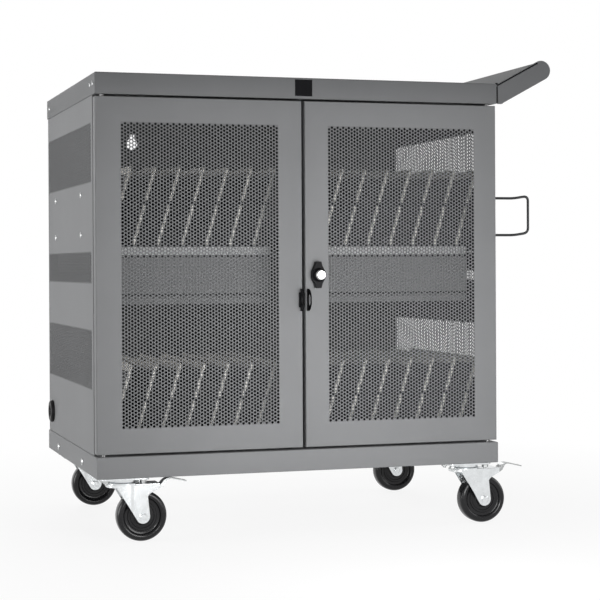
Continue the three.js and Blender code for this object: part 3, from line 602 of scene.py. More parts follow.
world = bpy.data.worlds.new("studio")
bpy.context.scene.world = world
world.use_nodes = True
sky = world.node_tree
sky.nodes.clear()
sky_split = added(sky, "SeparateXYZ", Vector=added(sky, "TexCoord").outputs["Generated"])
sky_color = ramped(sky, sky_split.outputs["Z"], SKY_RANGE, ((1, 1, 1), (ZENITH_SHARE,) * 3))
ambient = added(sky, "Background", Color=sky_color, Strength=AMBIENT)
white = added(sky, "Background", Color=sky_color, Strength=1.0)
added(sky, "OutputWorld", Surface=mixed(sky, shown_rays(sky), ambient.outputs[0], white.outputs[0]))


def lamp(name, place, target, size, power):
    data = bpy.data.lights.new(name, "AREA")
    data.shape = "DISK"
    data.size = size
    data.energy = power
    item = linked(name, data)
    item.location = place
    item.rotation_mode = "QUATERNION"
    item.rotation_quaternion = (Vector(target) - Vector(place)).to_track_quat("-Z", "Y")
    item.visible_camera = False


lamp("key", at(110, -850, 250), at(60, 0, 280), size=0.6, power=6.8)
lamp("front", at(-850, -2700, 480), at(0, 0, 380), size=0.4, power=11)
lamp("top", at(0, 700, 2600), at(0, 300, 790), size=1.2, power=11)
lamp("left_fill", at(-2600, 100, 400), at(0, 300, 350), size=1.6, power=36)
lamp("right_fill", at(2600, -300, 900), at(0, 300, 400), size=1.6, power=20)
lamp("back_fill", at(300, 3200, 1100), at(0, 300, 400), size=1.8, power=36)

floor_mesh = bpy.data.meshes.new("floor")
floor_corners = [(x * FLOOR_SIZE, y * FLOOR_SIZE, 0) for x, y in CORNERS]
floor_mesh.from_pydata(floor_corners, [], [(0, 1, 2, 3)])
floor = linked("floor", floor_mesh)
floor.location.z = cad_box[0].z - FLOOR_DROP
floor_material, floor_tree, floor_shader = node_material("floor_white")
fed(floor_tree, floor_shader, Base_Color=(0.9, 0.9, 0.9, 1), Roughness=0.7, Specular_IOR_Level=0.1)
glow = added(floor_tree, "Emission", Color=(1, 1, 1, 1), Strength=1.0)
floor_far = added(floor_tree, "VectorMath")
floor_far.operation = "LENGTH"
floor_tree.links.new(added(floor_tree, "TexCoord").outputs["Object"], floor_far.inputs[0])
fade = ranged(floor_tree, floor_far.outputs["Value"], FLOOR_FADE, (FLOOR_GLOW, 1.0))
seen = math_node(floor_tree, "MULTIPLY", fade, shown_rays(floor_tree))
floor_surface = mixed(floor_tree, seen, floor_shader.outputs[0], glow.outputs[0])
fed(floor_tree, floor_tree.nodes["Material Output"], Surface=floor_surface)
floor_mesh.materials.append(floor_material)


# Doors: a folded frame with a perforated field
def front_point(face):
    return lambda u, v, d: (u, face + d, v)


def door_piece(node):
    low, high = local_box(node)
    left, right = low.x, high.x
    depth = high.y - low.y
    bottom = local_box("base_pan")[1].z + DOOR_REVEAL
    top = local_box("lid")[0].z - DOOR_REVEAL
    r = EDGE_RADIUS
    seam_end = DOOR_EDGE_SEAM + DOOR_SEAM_WIDTH
    hem = DOOR_SEAM_DEPTH + SHEET
    section = [(FIELD_BORDER, SHEET), (FIELD_BORDER, 0)]
    section += arc(r, r, r, 270, 180, EDGE_STEPS)
    section += [(0, DOOR_EDGE_SEAM), (DOOR_SEAM_DEPTH, DOOR_EDGE_SEAM)]
    section += [(DOOR_SEAM_DEPTH, seam_end), (0, seam_end)]
    section += arc(r, depth - r, r, 180, 90, EDGE_STEPS)
    section += [(DOOR_LIP, depth), (DOOR_LIP, depth - SHEET), (hem, depth - SHEET), (hem, SHEET)]
    form = swept_frame(Form(), left, bottom, right, top, section, front_point(low.y))
    frame_faces = len(form.faces)
    field = (left + FIELD_BORDER, bottom + FIELD_BORDER, right - FIELD_BORDER, top - FIELD_BORDER)
    perforated(form, *field, front_point(low.y), SHEET)
    door = shown(node, form, powder_grey, "grey_steel", node)
    paint_screen_shade(door, frame_faces, len(form.faces))
    pins = Form()
    pivot_x = left + PIVOT_INSET if node == "left_door" else right - PIVOT_INSET
    pivot = (pivot_x, low.y + depth / 2, 0)
    disc(pins, PIVOT_RADIUS, pivot, (0, 0, 1), top - SHEET / 2, high.z)
    disc(pins, PIVOT_RADIUS, pivot, (0, 0, -1), -bottom - SHEET / 2, -low.z)
    made(node + "_pins", pins, pin_zinc, "zinc_steel", node)


door_piece("left_door")
door_piece("right_door")


# Side panels: three perforated bands between plain strips, with folded front and rear edges
PANEL_RETURN = 22
PLAIN_AREA = 1e-4  # faces of the perforated bands are smaller


def side_panel(node, side):
    low, high = local_box(node)
    face = low.x if side < 0 else high.x
    front, rear = low.y, high.y
    r = EDGE_RADIUS

    def inward(u, v, d):
        return (face - side * d, u, v)

    first = front + BAND_FRONT_MARGIN
    last = rear - BAND_REAR_MARGIN
    cuts_v = [low.z]
    for bottom, height in BANDS:
        cuts_v += [bottom, bottom + height]
    cuts_v.append(high.z)
    form = windowed(Form(), [front + r, first, last, rear - r], cuts_v,
                    lambda i, j: i == 1 and j % 2 == 1, inward, SHEET)
    plain_faces = len(form.faces)
    for bottom, height in BANDS:
        perforated(form, first, bottom, last, bottom + height, inward, BAND_SHEET)
    band_faces = len(form.faces)
    outline = arc(r, 0, r, 180, 270, EDGE_STEPS) + [(PANEL_RETURN, -r), (PANEL_RETURN, -r + SHEET)]
    outline += arc(r, 0, r - SHEET, 270, 180, EDGE_STEPS)
    for edge, way in ((front, 1), (rear, -1)):
        centre = edge + way * r
        extruded(form, outline, lambda d, v, z: (face - side * d, centre + way * v, z), low.z, high.z)
    # Faces of the panel that look into the cabinet get painted shade.
    shaded_faces = (PLAIN_AREA, (-side, 0, 0), (0, -1, 0))
    panel = shown(node, form, powder_grey, "grey_steel", inside=shaded_faces)
    paint_screen_shade(panel, plain_faces, band_faces)


side_panel("left_side_panel", -1)
side_panel("right_side_panel", 1)


# Lid and base: folded pans
def flat_point(u, v, d):
    return (u, v, d)


lid_low, lid_high = local_box("lid")
pan_low, pan_high = local_box("base_pan")
BASE_FLANGE = 84
HEADER_DEPTH = 38


def lid_piece():
    r = EDGE_RADIUS
    top, bottom = lid_high.z, lid_low.z
    section = arc(r, top - r, r, 90, 180, EDGE_STEPS)
    section += arc(SHEET / 2, bottom + SHEET / 2, SHEET / 2, 180, 360, EDGE_STEPS)
    section += [(SHEET, top - SHEET)]
    form = swept_frame(Form(), lid_low.x, lid_low.y, lid_high.x, lid_high.y, section, flat_point, False)
    header_high = (lid_high.x - SHEET, HEADER_DEPTH - CLEARANCE, bottom + SHEET)
    form.block((lid_low.x + SHEET, lid_low.y + SHEET, bottom), header_high)
    shown("lid", form, lid_shade_grey, "grey_steel")


def base_piece():
    r = EDGE_RADIUS
    top, bottom = pan_high.z, pan_low.z
    section = arc(r, top - r, r, 90, 180, EDGE_STEPS)
    section += arc(r, bottom + r, r, 180, 270, EDGE_STEPS)
    section += [(PANEL_RETURN, bottom), (PANEL_RETURN, bottom + SHEET)]
    section += [(SHEET, bottom + SHEET), (SHEET, top - SHEET)]
    form = swept_frame(Form(), pan_low.x, pan_low.y, pan_high.x, pan_high.y, section, flat_point, False)
    front_flange = (PANEL_RETURN + pan_low.y, BASE_FLANGE)
    rear_flange = (pan_high.y + pan_low.y - BASE_FLANGE, pan_high.y - PANEL_RETURN)
    for near, far in (front_flange, rear_flange):
        form.block((pan_low.x + PANEL_RETURN, near, bottom), (pan_high.x - PANEL_RETURN, far, bottom + SHEET))
    shown("base_pan", form, powder_grey, "grey_steel")


lid_piece()
base_piece()

# Push handle
HANDLE_REACH = 104
HANDLE_NOSE = 20.5
HANDLE_SLOPE = 28.3
HANDLE_SHEET = 2
HANDLE_END = 3
HANDLE_RECESS = 2.5
HANDLE_RIM = 1.5
HANDLE_SHADE_LINE = 3
HANDLE_SHADE_LINE_SINK = 1
HANDLE_GAP = 4
HANDLE_LIFT = 2  # from the lid's bottom to the rolled sheet
HANDLE_TAB = 12
HANDLE_TAB_LIFT = 1
HANDLE_ROLL_END = -75
HANDLE_STEPS = 18


def handle_piece():
    low, high = local_box("push_handle")
    root = lid_high.x + CLEARANCE
    nose_x = lid_high.x + HANDLE_REACH
    nose_z = high.z - HANDLE_NOSE
    slope = radians(HANDLE_SLOPE)
    bottom = lid_low.z

    def upper(x, radius):
        return nose_z + radius / cos(slope) + (x - nose_x) * tan(slope)

    toe = nose_x + (HANDLE_NOSE - (nose_z - bottom) * cos(slope)) / sin(slope)
    start = root + HANDLE_GAP
    plate = [(start, bottom), (toe, bottom)]
    plate += arc(nose_x, nose_z, HANDLE_NOSE, HANDLE_SLOPE - 90, HANDLE_SLOPE + 90, HANDLE_STEPS)
    # A black strip along the top of each end plate stands in for the shaded recess beside the sloped sheet:
    # painted shade.
    shade_high = HANDLE_NOSE - HANDLE_RIM
    shade_low = shade_high - HANDLE_SHADE_LINE

    def edge(radius):
        """The sloped edge at a distance above the end plate's middle line."""
        shoulder = slope + pi / 2
        top = (nose_x + radius * cos(shoulder), nose_z + radius * sin(shoulder))
        return [top, (start, upper(start, radius))]

    plate += edge(shade_low)
    rim = edge(HANDLE_NOSE) + edge(shade_high)[::-1]
    seam = edge(shade_high) + edge(shade_low)[::-1]
    skin = HANDLE_NOSE - HANDLE_RECESS
    inner = skin - HANDLE_SHEET
    outside = arc(nose_x, nose_z, skin, HANDLE_ROLL_END, HANDLE_SLOPE + 90, HANDLE_STEPS)
    inside = arc(nose_x, nose_z, inner, HANDLE_SLOPE + 90, HANDLE_ROLL_END, HANDLE_STEPS)
    foot = bottom + HANDLE_LIFT
    back = root + HANDLE_SHEET
    section = outside + [(root, upper(root, skin)), (root, foot), (back, foot)]
    section += [(back, upper(back, inner))] + inside

    def sideways(u, v, d):
        return (u, d, v)

    # Black tabs behind the gaps at the handle's ends: fixing tabs, coloured black as painted shade for the
    # dark gaps.
    shade_tabs = Form()
    tab_top = upper(start + HANDLE_TAB, skin) - HANDLE_SHEET
    tab_inset = HANDLE_END + CLEARANCE
    for near in (low.y + tab_inset, high.y - tab_inset - HANDLE_SHEET):
        tab_high = (start + HANDLE_TAB, near + HANDLE_SHEET, tab_top)
        shade_tabs.block((root, near, bottom + HANDLE_TAB_LIFT), tab_high)
    made("push_handle_tabs", shade_tabs, black_coat, "black_metal")
    # The end plates, and the black strips of painted shade on them.
    ends = Form()
    shade_strips = Form()
    for near, sink in ((low.y, HANDLE_SHADE_LINE_SINK), (high.y - HANDLE_END, 0)):
        for outline in (plate, rim):
            extruded(ends, outline, sideways, near, near + HANDLE_END)
        sunk = near + sink
        extruded(shade_strips, seam, sideways, sunk, sunk + HANDLE_END - HANDLE_SHADE_LINE_SINK)
    made("push_handle_ends", ends, lid_shade_grey, "grey_steel", bevel=0.4)
    made("push_handle_seams", shade_strips, black_coat, "black_metal")
    skin_form = extruded(Form(), section, sideways, low.y + HANDLE_END, high.y - HANDLE_END)
    made("push_handle_skin", skin_form, lid_shade_grey, "grey_steel", replaces=("push_handle",))


handle_piece()

# Inside: shelf, boxes, outlet strip and back panel keep their own solids, with the edges rounded
# Their faces that look sideways get painted shade, and so do the back panel's faces that look towards the
# doors.
for node in ("mid_shelf", "left_charger_box", "right_charger_box"):
    softened(node, box_grey, "grey_steel", 0.4, inside=(0.0, (-1, 0, 0), (1, 0, 0)))
softened("back_panel", powder_grey, "grey_steel", 0.4, inside=(0.0, (0, -1, 0)))
softened("outlet_strip", black_plastic, "black_plastic", 1.0)


# A strip along the top of each charger box, pale as painted highlight where light falls on it, and black
# strips under it and near the box's bottom as painted shade for the shadow gaps there
LIP_BOTTOM, LIP_TOP = 435, 453
LIP_PROUD = 1.2
LOWER_SHADE_STRIP = 16.5  # from the box's bottom
SHADE_STRIP_HEIGHT = 4.5
SHADE_STRIP_PROUD = 0.3
SHADE_STRIP_BACK = 0.5
for node in ("left_charger_box", "right_charger_box"):
    box_low, box_high = local_box(node)
    lip_high = (box_high.x, box_low.y + LIP_PROUD, min(LIP_TOP, box_high.z))
    lip = Form().block((box_low.x, box_low.y - LIP_PROUD, LIP_BOTTOM), lip_high)
    made(node + "_lip", lip, lip_highlight_grey, "grey_steel", bevel=0.5)
    shade_strips = Form()
    for bottom in (LIP_BOTTOM - SHADE_STRIP_HEIGHT, box_low.z + LOWER_SHADE_STRIP):
        corner = (box_high.x, box_low.y + SHADE_STRIP_BACK, bottom + SHADE_STRIP_HEIGHT)
        shade_strips.block((box_low.x, box_low.y - SHADE_STRIP_PROUD, bottom), corner)
    made(node + "_seams", shade_strips, black_plastic, "black_plastic")


# Dividers: the plates stay, and get a pale trim along the front and top edges
def divider_trim(node):
    low, high = local_box(node)
    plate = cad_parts[node]
    # The plates get the dark grey that holds painted shade.
    plate.data.materials.clear()
    plate.data.materials.append(divider_shade_grey)
    rise = Vector((sin(DIVIDER_LEAN), 0, cos(DIVIDER_LEAN)))
    across = Vector((cos(DIVIDER_LEAN), 0, -sin(DIVIDER_LEAN)))
    depth = high.y - low.y
    foot_x = high.x - cos(DIVIDER_LEAN) - rise.x * DIVIDER_HEIGHT
    foot = Vector((foot_x, low.y, high.z - rise.z * DIVIDER_HEIGHT))
    foot.z -= sin(DIVIDER_LEAN)

    def place(u, v, d):
        return tuple(foot + Vector((0, u, 0)) + rise * v + across * d)

    c = DIVIDER_CORNER
    top, leg = DIVIDER_HEIGHT, TRIM_FRONT_LEG
    under = top - TRIM_TOP_LEG
    gap_low, gap_high = TRIM_SPLIT - TRIM_GAP / 2, TRIM_SPLIT + TRIM_GAP / 2
    upper = arc(c, top - c, c + TRIM_OUT, 180, 90, TRIM_STEPS)
    upper += [(depth, top + TRIM_OUT), (depth, under)]
    upper += [(leg + TRIM_CHAMFER, under), (leg, under - TRIM_CHAMFER)]
    upper += [(leg, gap_high), (-TRIM_OUT, gap_high)]
    lower = [(-TRIM_OUT, TRIM_FOOT), (-TRIM_OUT, gap_low), (leg, gap_low), (leg, TRIM_FOOT)]
    form = Form()
    for outline in (upper, lower):
        extruded(form, outline, place, -TRIM_HALF, TRIM_HALF)
    made(node + "_trim", form, trim_cream, bevel=1.6)


for tier, side, number in product(("lower", "upper"), ("left", "right"), range(1, 8)):
    divider_trim(f"{tier}_{side}_divider_{number}")

# Lock
LOCK_HUB = 13.5
LOCK_HUB_LENGTH = 22
LOCK_HUB_RIM = ((0, 0), (0, 17), (1, 20), (2.3, LOCK_HUB_LENGTH))  # inset and height
LOCK_BORE = 9.6
LOCK_SHAFT = 6
LOCK_SHAFT_EDGE = 1.5
LOCK_SHAFT_SINK = 1
LOCK_WING_SPAN = 53
LOCK_WING_WIDTH = 11
LOCK_WING_THICKNESS = 13
LOCK_WING_FLARE = 2.5
LOCK_WING_TIP = 9
LOCK_WING_ROOT = 7
CAM_LENGTH = 38
CAM_TAIL = 7
CAM_WIDTH = 14
CAM_SHEET = 3
PLUG_RADIUS = 9.5
PLUG_CORE = 0.4
PLUG_NECK = ((PLUG_RADIUS, 3), (9.0, 3.4))  # radius, and height above the hub
PLUG_FACE = ((9.0, 1.2), (7.8, 0), (6.4, 0), (6.1, 0.4), (5.8, 0))  # radius and depth
KEYWAY_WIDTH, KEYWAY_HEIGHT, KEYWAY_DEPTH = 1.6, 7.2, 2
KEYWAY_PROUD = 0.05


def lock_pieces():
    low, high = local_box("lock_cylinder")
    x, z = (low.x + high.x) / 2, (low.z + high.z) / 2
    handle_back = local_box("lock_handle")[1].y
    back = local_box("right_door")[0].y - CLEARANCE
    axis = (0, -1, 0)
    centre = (x, 0, z)

    def facing(u, v, d):
        return (x + u, d, z + v)

    form = Form()
    hub = [(LOCK_BORE, -back)]
    hub += [(LOCK_HUB - inset, -back + height) for inset, height in LOCK_HUB_RIM]
    hub += [(LOCK_BORE, -back + LOCK_HUB_LENGTH)]
    turned(form, hub, centre, axis)
    half, wide = LOCK_WING_SPAN / 2, LOCK_WING_WIDTH / 2
    flare = wide + LOCK_WING_FLARE
    right_edge = [(wide, -half), (flare, -half + LOCK_WING_TIP), (LOCK_HUB, -LOCK_WING_ROOT)]
    right_edge += [(LOCK_HUB, LOCK_WING_ROOT), (flare, half - LOCK_WING_TIP), (wide, half)]
    left_edge = [(-u, v) for u, v in reversed(right_edge)]
    wing = left_edge[-1:] + right_edge + left_edge[:-1]
    extruded(form, wing, facing, back - LOCK_WING_THICKNESS, back)
    disc(form, LOCK_SHAFT, centre, (0, 1, 0), back - LOCK_SHAFT_SINK, handle_back, LOCK_SHAFT_EDGE)
    side = CAM_WIDTH / 2
    cam = [(-side, -CAM_TAIL), (side, -CAM_TAIL), (side, CAM_LENGTH), (-side, CAM_LENGTH)]
    extruded(form, cam, facing, handle_back - CAM_SHEET, handle_back)
    shown("lock_handle", form, black_coat, "black_metal", "lock_handle", bevel=0.6)

    front = -low.y - KEYWAY_PROUD
    stem = -back + LOCK_HUB_LENGTH
    profile = [(PLUG_CORE, -high.y), (PLUG_RADIUS, -high.y)]
    profile += [(radius, stem + height) for radius, height in PLUG_NECK]
    profile += [(radius, front - depth) for radius, depth in PLUG_FACE] + [(PLUG_CORE, front)]
    plug = turned(Form(), profile, centre, axis)
    shown("lock_cylinder", plug, chrome, "chrome", "lock_cylinder")
    # The keyway is a black block in the plug's face: painted shade for the slot.
    way_low = (x - KEYWAY_WIDTH / 2, -front - KEYWAY_PROUD, z - KEYWAY_HEIGHT / 2)
    way_high = (x + KEYWAY_WIDTH / 2, -front + KEYWAY_DEPTH, z + KEYWAY_HEIGHT / 2)
    made("lock_keyway_shade", Form().block(way_low, way_high), black_coat, "black_metal", "lock_cylinder")


lock_pieces()

# Padlock ears
EAR_CORNER = 20
EAR_RIM = 5
EAR_EYE_WIDTH = 15
EAR_EYE_HEIGHT = 22
EAR_EYE_FLAT = 0.3
EAR_THICKNESS = 1.8
EAR_FOOT_HEIGHT = 30
EAR_FOOT_REACH = 5
EAR_STEPS = 8


def ear_piece(node, body, side):
    low, high = local_box(node)
    inner = high.x if side < 0 else low.x
    middle_z = (low.z + high.z) / 2
    front, back = low.y, high.y
    outline = [(back, low.z), (back, high.z)]
    r = EAR_CORNER
    outline += arc(front + r, high.z - r, r, 90, 180, EAR_STEPS)
    outline += arc(front + r, low.z + r, r, 180, 270, EAR_STEPS)
    near, half = front + EAR_RIM, EAR_EYE_HEIGHT / 2
    corner = EAR_EYE_WIDTH / 2 - EAR_EYE_FLAT
    eye = rounded_box(near, middle_z - half, near + EAR_EYE_WIDTH, middle_z + half, corner)

    def plate_point(u, v, d):
        return (inner + side * d, u, v)

    form = pierced(Form(), outline, eye, plate_point, EAR_THICKNESS)
    far = inner + side * min(high.x - low.x, EAR_FOOT_REACH)
    foot = EAR_FOOT_HEIGHT / 2
    foot_low = (min(inner, far), back - EAR_THICKNESS, middle_z - foot)
    form.block(foot_low, (max(inner, far), back, middle_z + foot))
    shown(node, form, black_coat, "black_metal", body, bevel=0.7)


ear_piece("left_padlock_ear", "left_door", -1)
ear_piece("right_padlock_ear", "right_door", 1)

# Cord hook
HOOK_WIRE = 2.8
HOOK_SPACING = 81
HOOK_REACH = 118
HOOK_TIP_RISE = 5
HOOK_TIP_FORWARD = 12
HOOK_BEND = 11
HOOK_COLLAR = 6
HOOK_COLLAR_PROFILE = ((0.3, 0), (HOOK_COLLAR, 0), (HOOK_COLLAR, 1.6), (3.6, 3), (0.3, 3))


def hook_piece():
    low, high = local_box("cord_hook")
    wall = low.x
    tip = high.x - HOOK_WIRE
    y = high.y - HOOK_COLLAR
    half = HOOK_SPACING / 2
    middle_z = low.z + HOOK_COLLAR + half
    upper, lower = middle_z + half, middle_z - half
    bend_x, tip_y = wall + HOOK_REACH, y - HOOK_TIP_FORWARD
    corners = [(wall, y, upper), (bend_x, y, upper), (tip, tip_y, upper + HOOK_TIP_RISE)]
    corners += [(tip, tip_y, lower + HOOK_TIP_RISE), (bend_x, y, lower), (wall, y, lower)]
    form = tube(Form(), filleted([Vector(corner) for corner in corners], HOOK_BEND), HOOK_WIRE)
    for z in (lower, upper):
        turned(form, HOOK_COLLAR_PROFILE, (wall, y, z), (1, 0, 0), SMALL_STEPS)
    shown("cord_hook", form, dark_wire, "dark_wire")


hook_piece()

# Cord grommet
GROMMET_BORE = 11
GROMMET_NECK = 19
GROMMET_GRIP = 4  # behind the panel's face
GROMMET_FLANGE = 3.5
GROMMET_DOME = ((0.8, 2), (3, 0.3), (6, 0))  # in from the rim, and behind the front
GROMMET_THROAT = ((14.5, 0), (12.5, 0.8), (GROMMET_BORE, 3))  # radius, and behind the front


def grommet_piece():
    low, high = local_box("cord_grommet")
    centre = (0, (low.y + high.y) / 2, (low.z + high.z) / 2)
    radius = (high.y - low.y) / 2
    wall = -local_box("left_side_panel")[0].x
    proud = -low.x
    profile = [(GROMMET_BORE, wall - GROMMET_GRIP), (GROMMET_NECK, wall - GROMMET_GRIP)]
    seat = wall + CLEARANCE
    profile += [(GROMMET_NECK, seat), (radius, seat), (radius, wall + GROMMET_FLANGE)]
    profile += [(radius - inset, proud - depth) for inset, depth in GROMMET_DOME]
    profile += [(r, proud - depth) for r, depth in GROMMET_THROAT]
    form = turned(Form(), profile, centre, (-1, 0, 0))
    shown("cord_grommet", form, black_plastic, "black_plastic")


grommet_piece()

# Casters
WHEEL_RADIUS = 50
WHEEL_TREAD = 6
WHEEL_STEPS = 72
WHEEL_HUB = ((5.6, 18), (13.6, 18), (15, 17), (15.6, 12.5), (17.5, 10.8))  # radius, and from the middle
WHEEL_WEB = ((23.5, 10.4), (24.5, 11.6), (28.5, 11.6), (29.5, 10.2), (33.5, 10))
WHEEL_TYRE = ((35.5, 11), (37, 14), (39.5, 15.6), (42.5, 15.9), (45.5, 15.2), (48, 13), (49.5, 10))
PLATE_THICKNESS = 4
PLATE_CORNER = 9
RACE_RADIUS = 28
RACE_EDGE = 1.5
RACE_EDGE_RISE = 2.5
TURNED_CORE = 0.5
BOLT_INSET = 11
WASHER_RADIUS, WASHER_TOP = 7.5, 1.4
NUT_RADIUS, NUT_TOP = 6.4, 6.5
NUT_SIDES = 6
NUT_CORE = 0.2
NUT_CHAMFER = 1
NUT_CROWN = 0.86  # share of the radius
STUD_RADIUS, STUD_TOP = 3.4, 9.5
FORK_SHEET = 3
FORK_INNER = 19  # from the middle to a leg's inner face
FORK_CROWN = 3  # from the bowl's top to the crown
FORK_LEAD = 33
FORK_LEG_LEAD = 17
FORK_SHOULDER = 5
FORK_NOSE = 20
FORK_NOSE_STEPS = 10
FORK_RIM = 6
FORK_TAIL = 70
FORK_TAIL_CORNER = 7
FORK_TAIL_EDGE = 6
FORK_TAIL_START = 300  # degrees
FORK_FOOT = 14
FORK_FOOT_START = 222
FORK_WAIST = 9.5
FORK_WAIST_RISE = 37
FORK_WAIST_BEND = (1, 8)
FORK_HIP = (4, 12)  # in from the tail and down from the crown
FORK_HIP_STEPS = 9
FORK_JOG = 3.2
FORK_JOG_START, FORK_JOG_END = 10, 20
FORK_JOG_CUTS = 4
BOWL_RADIUS = 30
BOWL_EDGE = 1.4
BOWL_EDGE_DROP = 1
BOWL_SINK = 1
AXLE_RADIUS = 5
AXLE_HALF = 22
AXLE_WASHER, AXLE_WASHER_TOP = 8.2, 1.2
AXLE_HEAD, AXLE_HEAD_TOP, AXLE_HEAD_EDGE = 6.6, 4.0, 1.2
AXLE_SINK = 0.2


def wheel_piece(node, axle):
    """The profile runs from the bore to the tread on one side, then back on the other."""
    side = [*WHEEL_HUB, *WHEEL_WEB, *WHEEL_TYRE, (WHEEL_RADIUS, WHEEL_TREAD)]
    profile = side + [(r, -a) for r, a in reversed(side)]
    wheel = turned(Form(), profile, axle, (0, 1, 0), WHEEL_STEPS)
    shown(node, wheel, wheel_black, "wheel_rubber", node)


def nut(form, centre, axis, low, high):
    """A nut with flat sides and a chamfered crown."""
    profile = [(NUT_CORE, low), (NUT_RADIUS, low), (NUT_RADIUS, high - NUT_CHAMFER)]
    profile += [(NUT_RADIUS * NUT_CROWN, high), (NUT_CORE, high)]
    return turned(form, profile, centre, axis, NUT_SIDES)


def plate_pieces(caster, swivel, low, high):
    under = high.z - PLATE_THICKNESS
    outline = rounded_box(low.x, low.y, high.x, high.y, PLATE_CORNER)
    plate = extruded(Form(), outline, flat_point, under, high.z)
    shown(caster + "_plate", plate, zinc, "zinc_steel", bevel=0.8)
    profile = [(TURNED_CORE, under), (RACE_RADIUS, under), (RACE_RADIUS, low.z + RACE_EDGE_RISE)]
    profile += [(RACE_RADIUS - RACE_EDGE, low.z), (TURNED_CORE, low.z)]
    race = turned(Form(), profile, (*swivel, 0), (0, 0, 1))
    made(caster + "_race", race, zinc, "zinc_steel")
    bolts = Form()
    reach_x = high.x - swivel[0] - BOLT_INSET
    reach_y = high.y - swivel[1] - BOLT_INSET
    down = (0, 0, -1)
    for way_x, way_y in product((-1, 1), repeat=2):
        place = (swivel[0] + way_x * reach_x, swivel[1] + way_y * reach_y, 0)
        disc(bolts, WASHER_RADIUS, place, down, -under, WASHER_TOP - under)
        nut(bolts, place, down, WASHER_TOP - under, NUT_TOP - under)
        disc(bolts, STUD_RADIUS, place, down, NUT_TOP - under, STUD_TOP - under)
    made(caster + "_bolts", bolts, screw_steel, "zinc_steel")


def fork_leg(form, swivel, side, axle, crown):
    """A pressed leg, set outwards in front of the axle."""
    x0, y0 = swivel
    trail = axle[0] - x0
    drop = axle[2]
    outline = [(-FORK_LEG_LEAD, crown), (-FORK_LEG_LEAD, crown - FORK_SHOULDER)]
    outline += arc(trail, drop, FORK_FOOT, FORK_FOOT_START, 360, steps=12)
    waist = (trail + FORK_WAIST, drop + FORK_WAIST_RISE)
    bend = (waist[0] + FORK_WAIST_BEND[0], waist[1] + FORK_WAIST_BEND[1])
    hip = (FORK_TAIL - FORK_HIP[0], crown - FORK_HIP[1])
    for k in range(1, FORK_HIP_STEPS):
        t = k / FORK_HIP_STEPS
        near, middle, far = (1 - t) ** 2, 2 * t * (1 - t), t * t
        outline.append(tuple(near * a + middle * b + far * c for a, b, c in zip(waist, bend, hip)))
    corner = FORK_TAIL_EDGE
    outline += arc(FORK_TAIL - corner, crown - corner, corner, FORK_TAIL_START, 360, steps=5)
    outline.append((FORK_TAIL, crown))
    edit = bmesh.new()
    edit.faces.new([edit.verts.new((u, v, 0)) for u, v in outline])
    jog_width = FORK_JOG_END - FORK_JOG_START
    for k in range(FORK_JOG_CUTS + 1):
        cut = FORK_JOG_START + jog_width * k / FORK_JOG_CUTS
        geometry = list(edit.verts) + list(edit.edges) + list(edit.faces)
        bmesh.ops.bisect_plane(edit, geom=geometry, plane_co=(cut, 0, 0), plane_no=(1, 0, 0))

    def place(u, v, d):
        t = min(max((FORK_JOG_END - u) / jog_width, 0), 1)
        jog = FORK_JOG * t * t * (3 - 2 * t)
        return (x0 + u, y0 + side * (FORK_INNER + jog + d), v)

    return thickened(form, *flat_mesh(edit), place, FORK_SHEET)


def fork_pieces(caster, swivel, axle, top):
    x0, y0 = swivel
    crown = top - FORK_CROWN
    fork = Form()
    for side in (-1, 1):
        fork_leg(fork, swivel, side, axle, crown)
    bend = FORK_TAIL_CORNER
    tail_x = x0 + FORK_TAIL - bend
    tail_y = FORK_INNER + FORK_SHEET - bend
    cap = arc(tail_x, y0 - tail_y, bend, 270, 360) + arc(tail_x, y0 + tail_y, bend, 0, 90)
    nose_x = x0 - FORK_LEAD + FORK_NOSE
    nose_y = FORK_INNER + FORK_SHEET + FORK_JOG - FORK_NOSE
    front = arc(nose_x, y0 + nose_y, FORK_NOSE, 90, 180, FORK_NOSE_STEPS)
    front += arc(nose_x, y0 - nose_y, FORK_NOSE, 180, 270, FORK_NOSE_STEPS)
    extruded(fork, cap + front, flat_point, crown - FORK_SHEET, crown)
    inner = FORK_NOSE - FORK_SHEET
    behind = arc(nose_x, y0 - nose_y, inner, 270, 180, FORK_NOSE_STEPS)
    behind += arc(nose_x, y0 + nose_y, inner, 180, 90, FORK_NOSE_STEPS)
    extruded(fork, front + behind, flat_point, crown - FORK_RIM, crown - FORK_SHEET / 2)
    shown(caster + "_fork", fork, zinc, "zinc_steel", caster, bevel=0.7)
    under = crown - BOWL_SINK
    profile = [(TURNED_CORE, under), (BOWL_RADIUS, under), (BOWL_RADIUS, top - BOWL_EDGE_DROP)]
    profile += [(BOWL_RADIUS - BOWL_EDGE, top), (TURNED_CORE, top)]
    bowl = turned(Form(), profile, (*swivel, 0), (0, 0, 1))
    for side in (-1, 1):
        head = (axle[0], axle[1] + side * (FORK_INNER + FORK_SHEET), axle[2])
        disc(bowl, AXLE_WASHER, head, (0, side, 0), -AXLE_SINK, AXLE_WASHER_TOP)
        disc(bowl, AXLE_HEAD, head, (0, side, 0), AXLE_WASHER_TOP, AXLE_HEAD_TOP, AXLE_HEAD_EDGE)
    disc(bowl, AXLE_RADIUS, axle, (0, 1, 0), -AXLE_HALF, AXLE_HALF)
    made(caster + "_swivel_parts", bowl, zinc, "zinc_steel", caster)


PEDAL_HALF = 13
PEDAL_TAPER = 3.5
PEDAL_SHEET = 2.2
PEDAL_CREST = 5
PEDAL_FADE = 1.1  # over one, the crest ends before the tip
PEDAL_BEND = 12
PEDAL_PIVOT = (45, -24)  # from the swivel, and below the base
PEDAL_PIN = 3
PEDAL_ROUTE = ((-3, 1), (26, 1), (41, 20))  # from the pivot to the crest
PEDAL_TIP_INSET = 1
PEDAL_TIP_RISE = 10.5


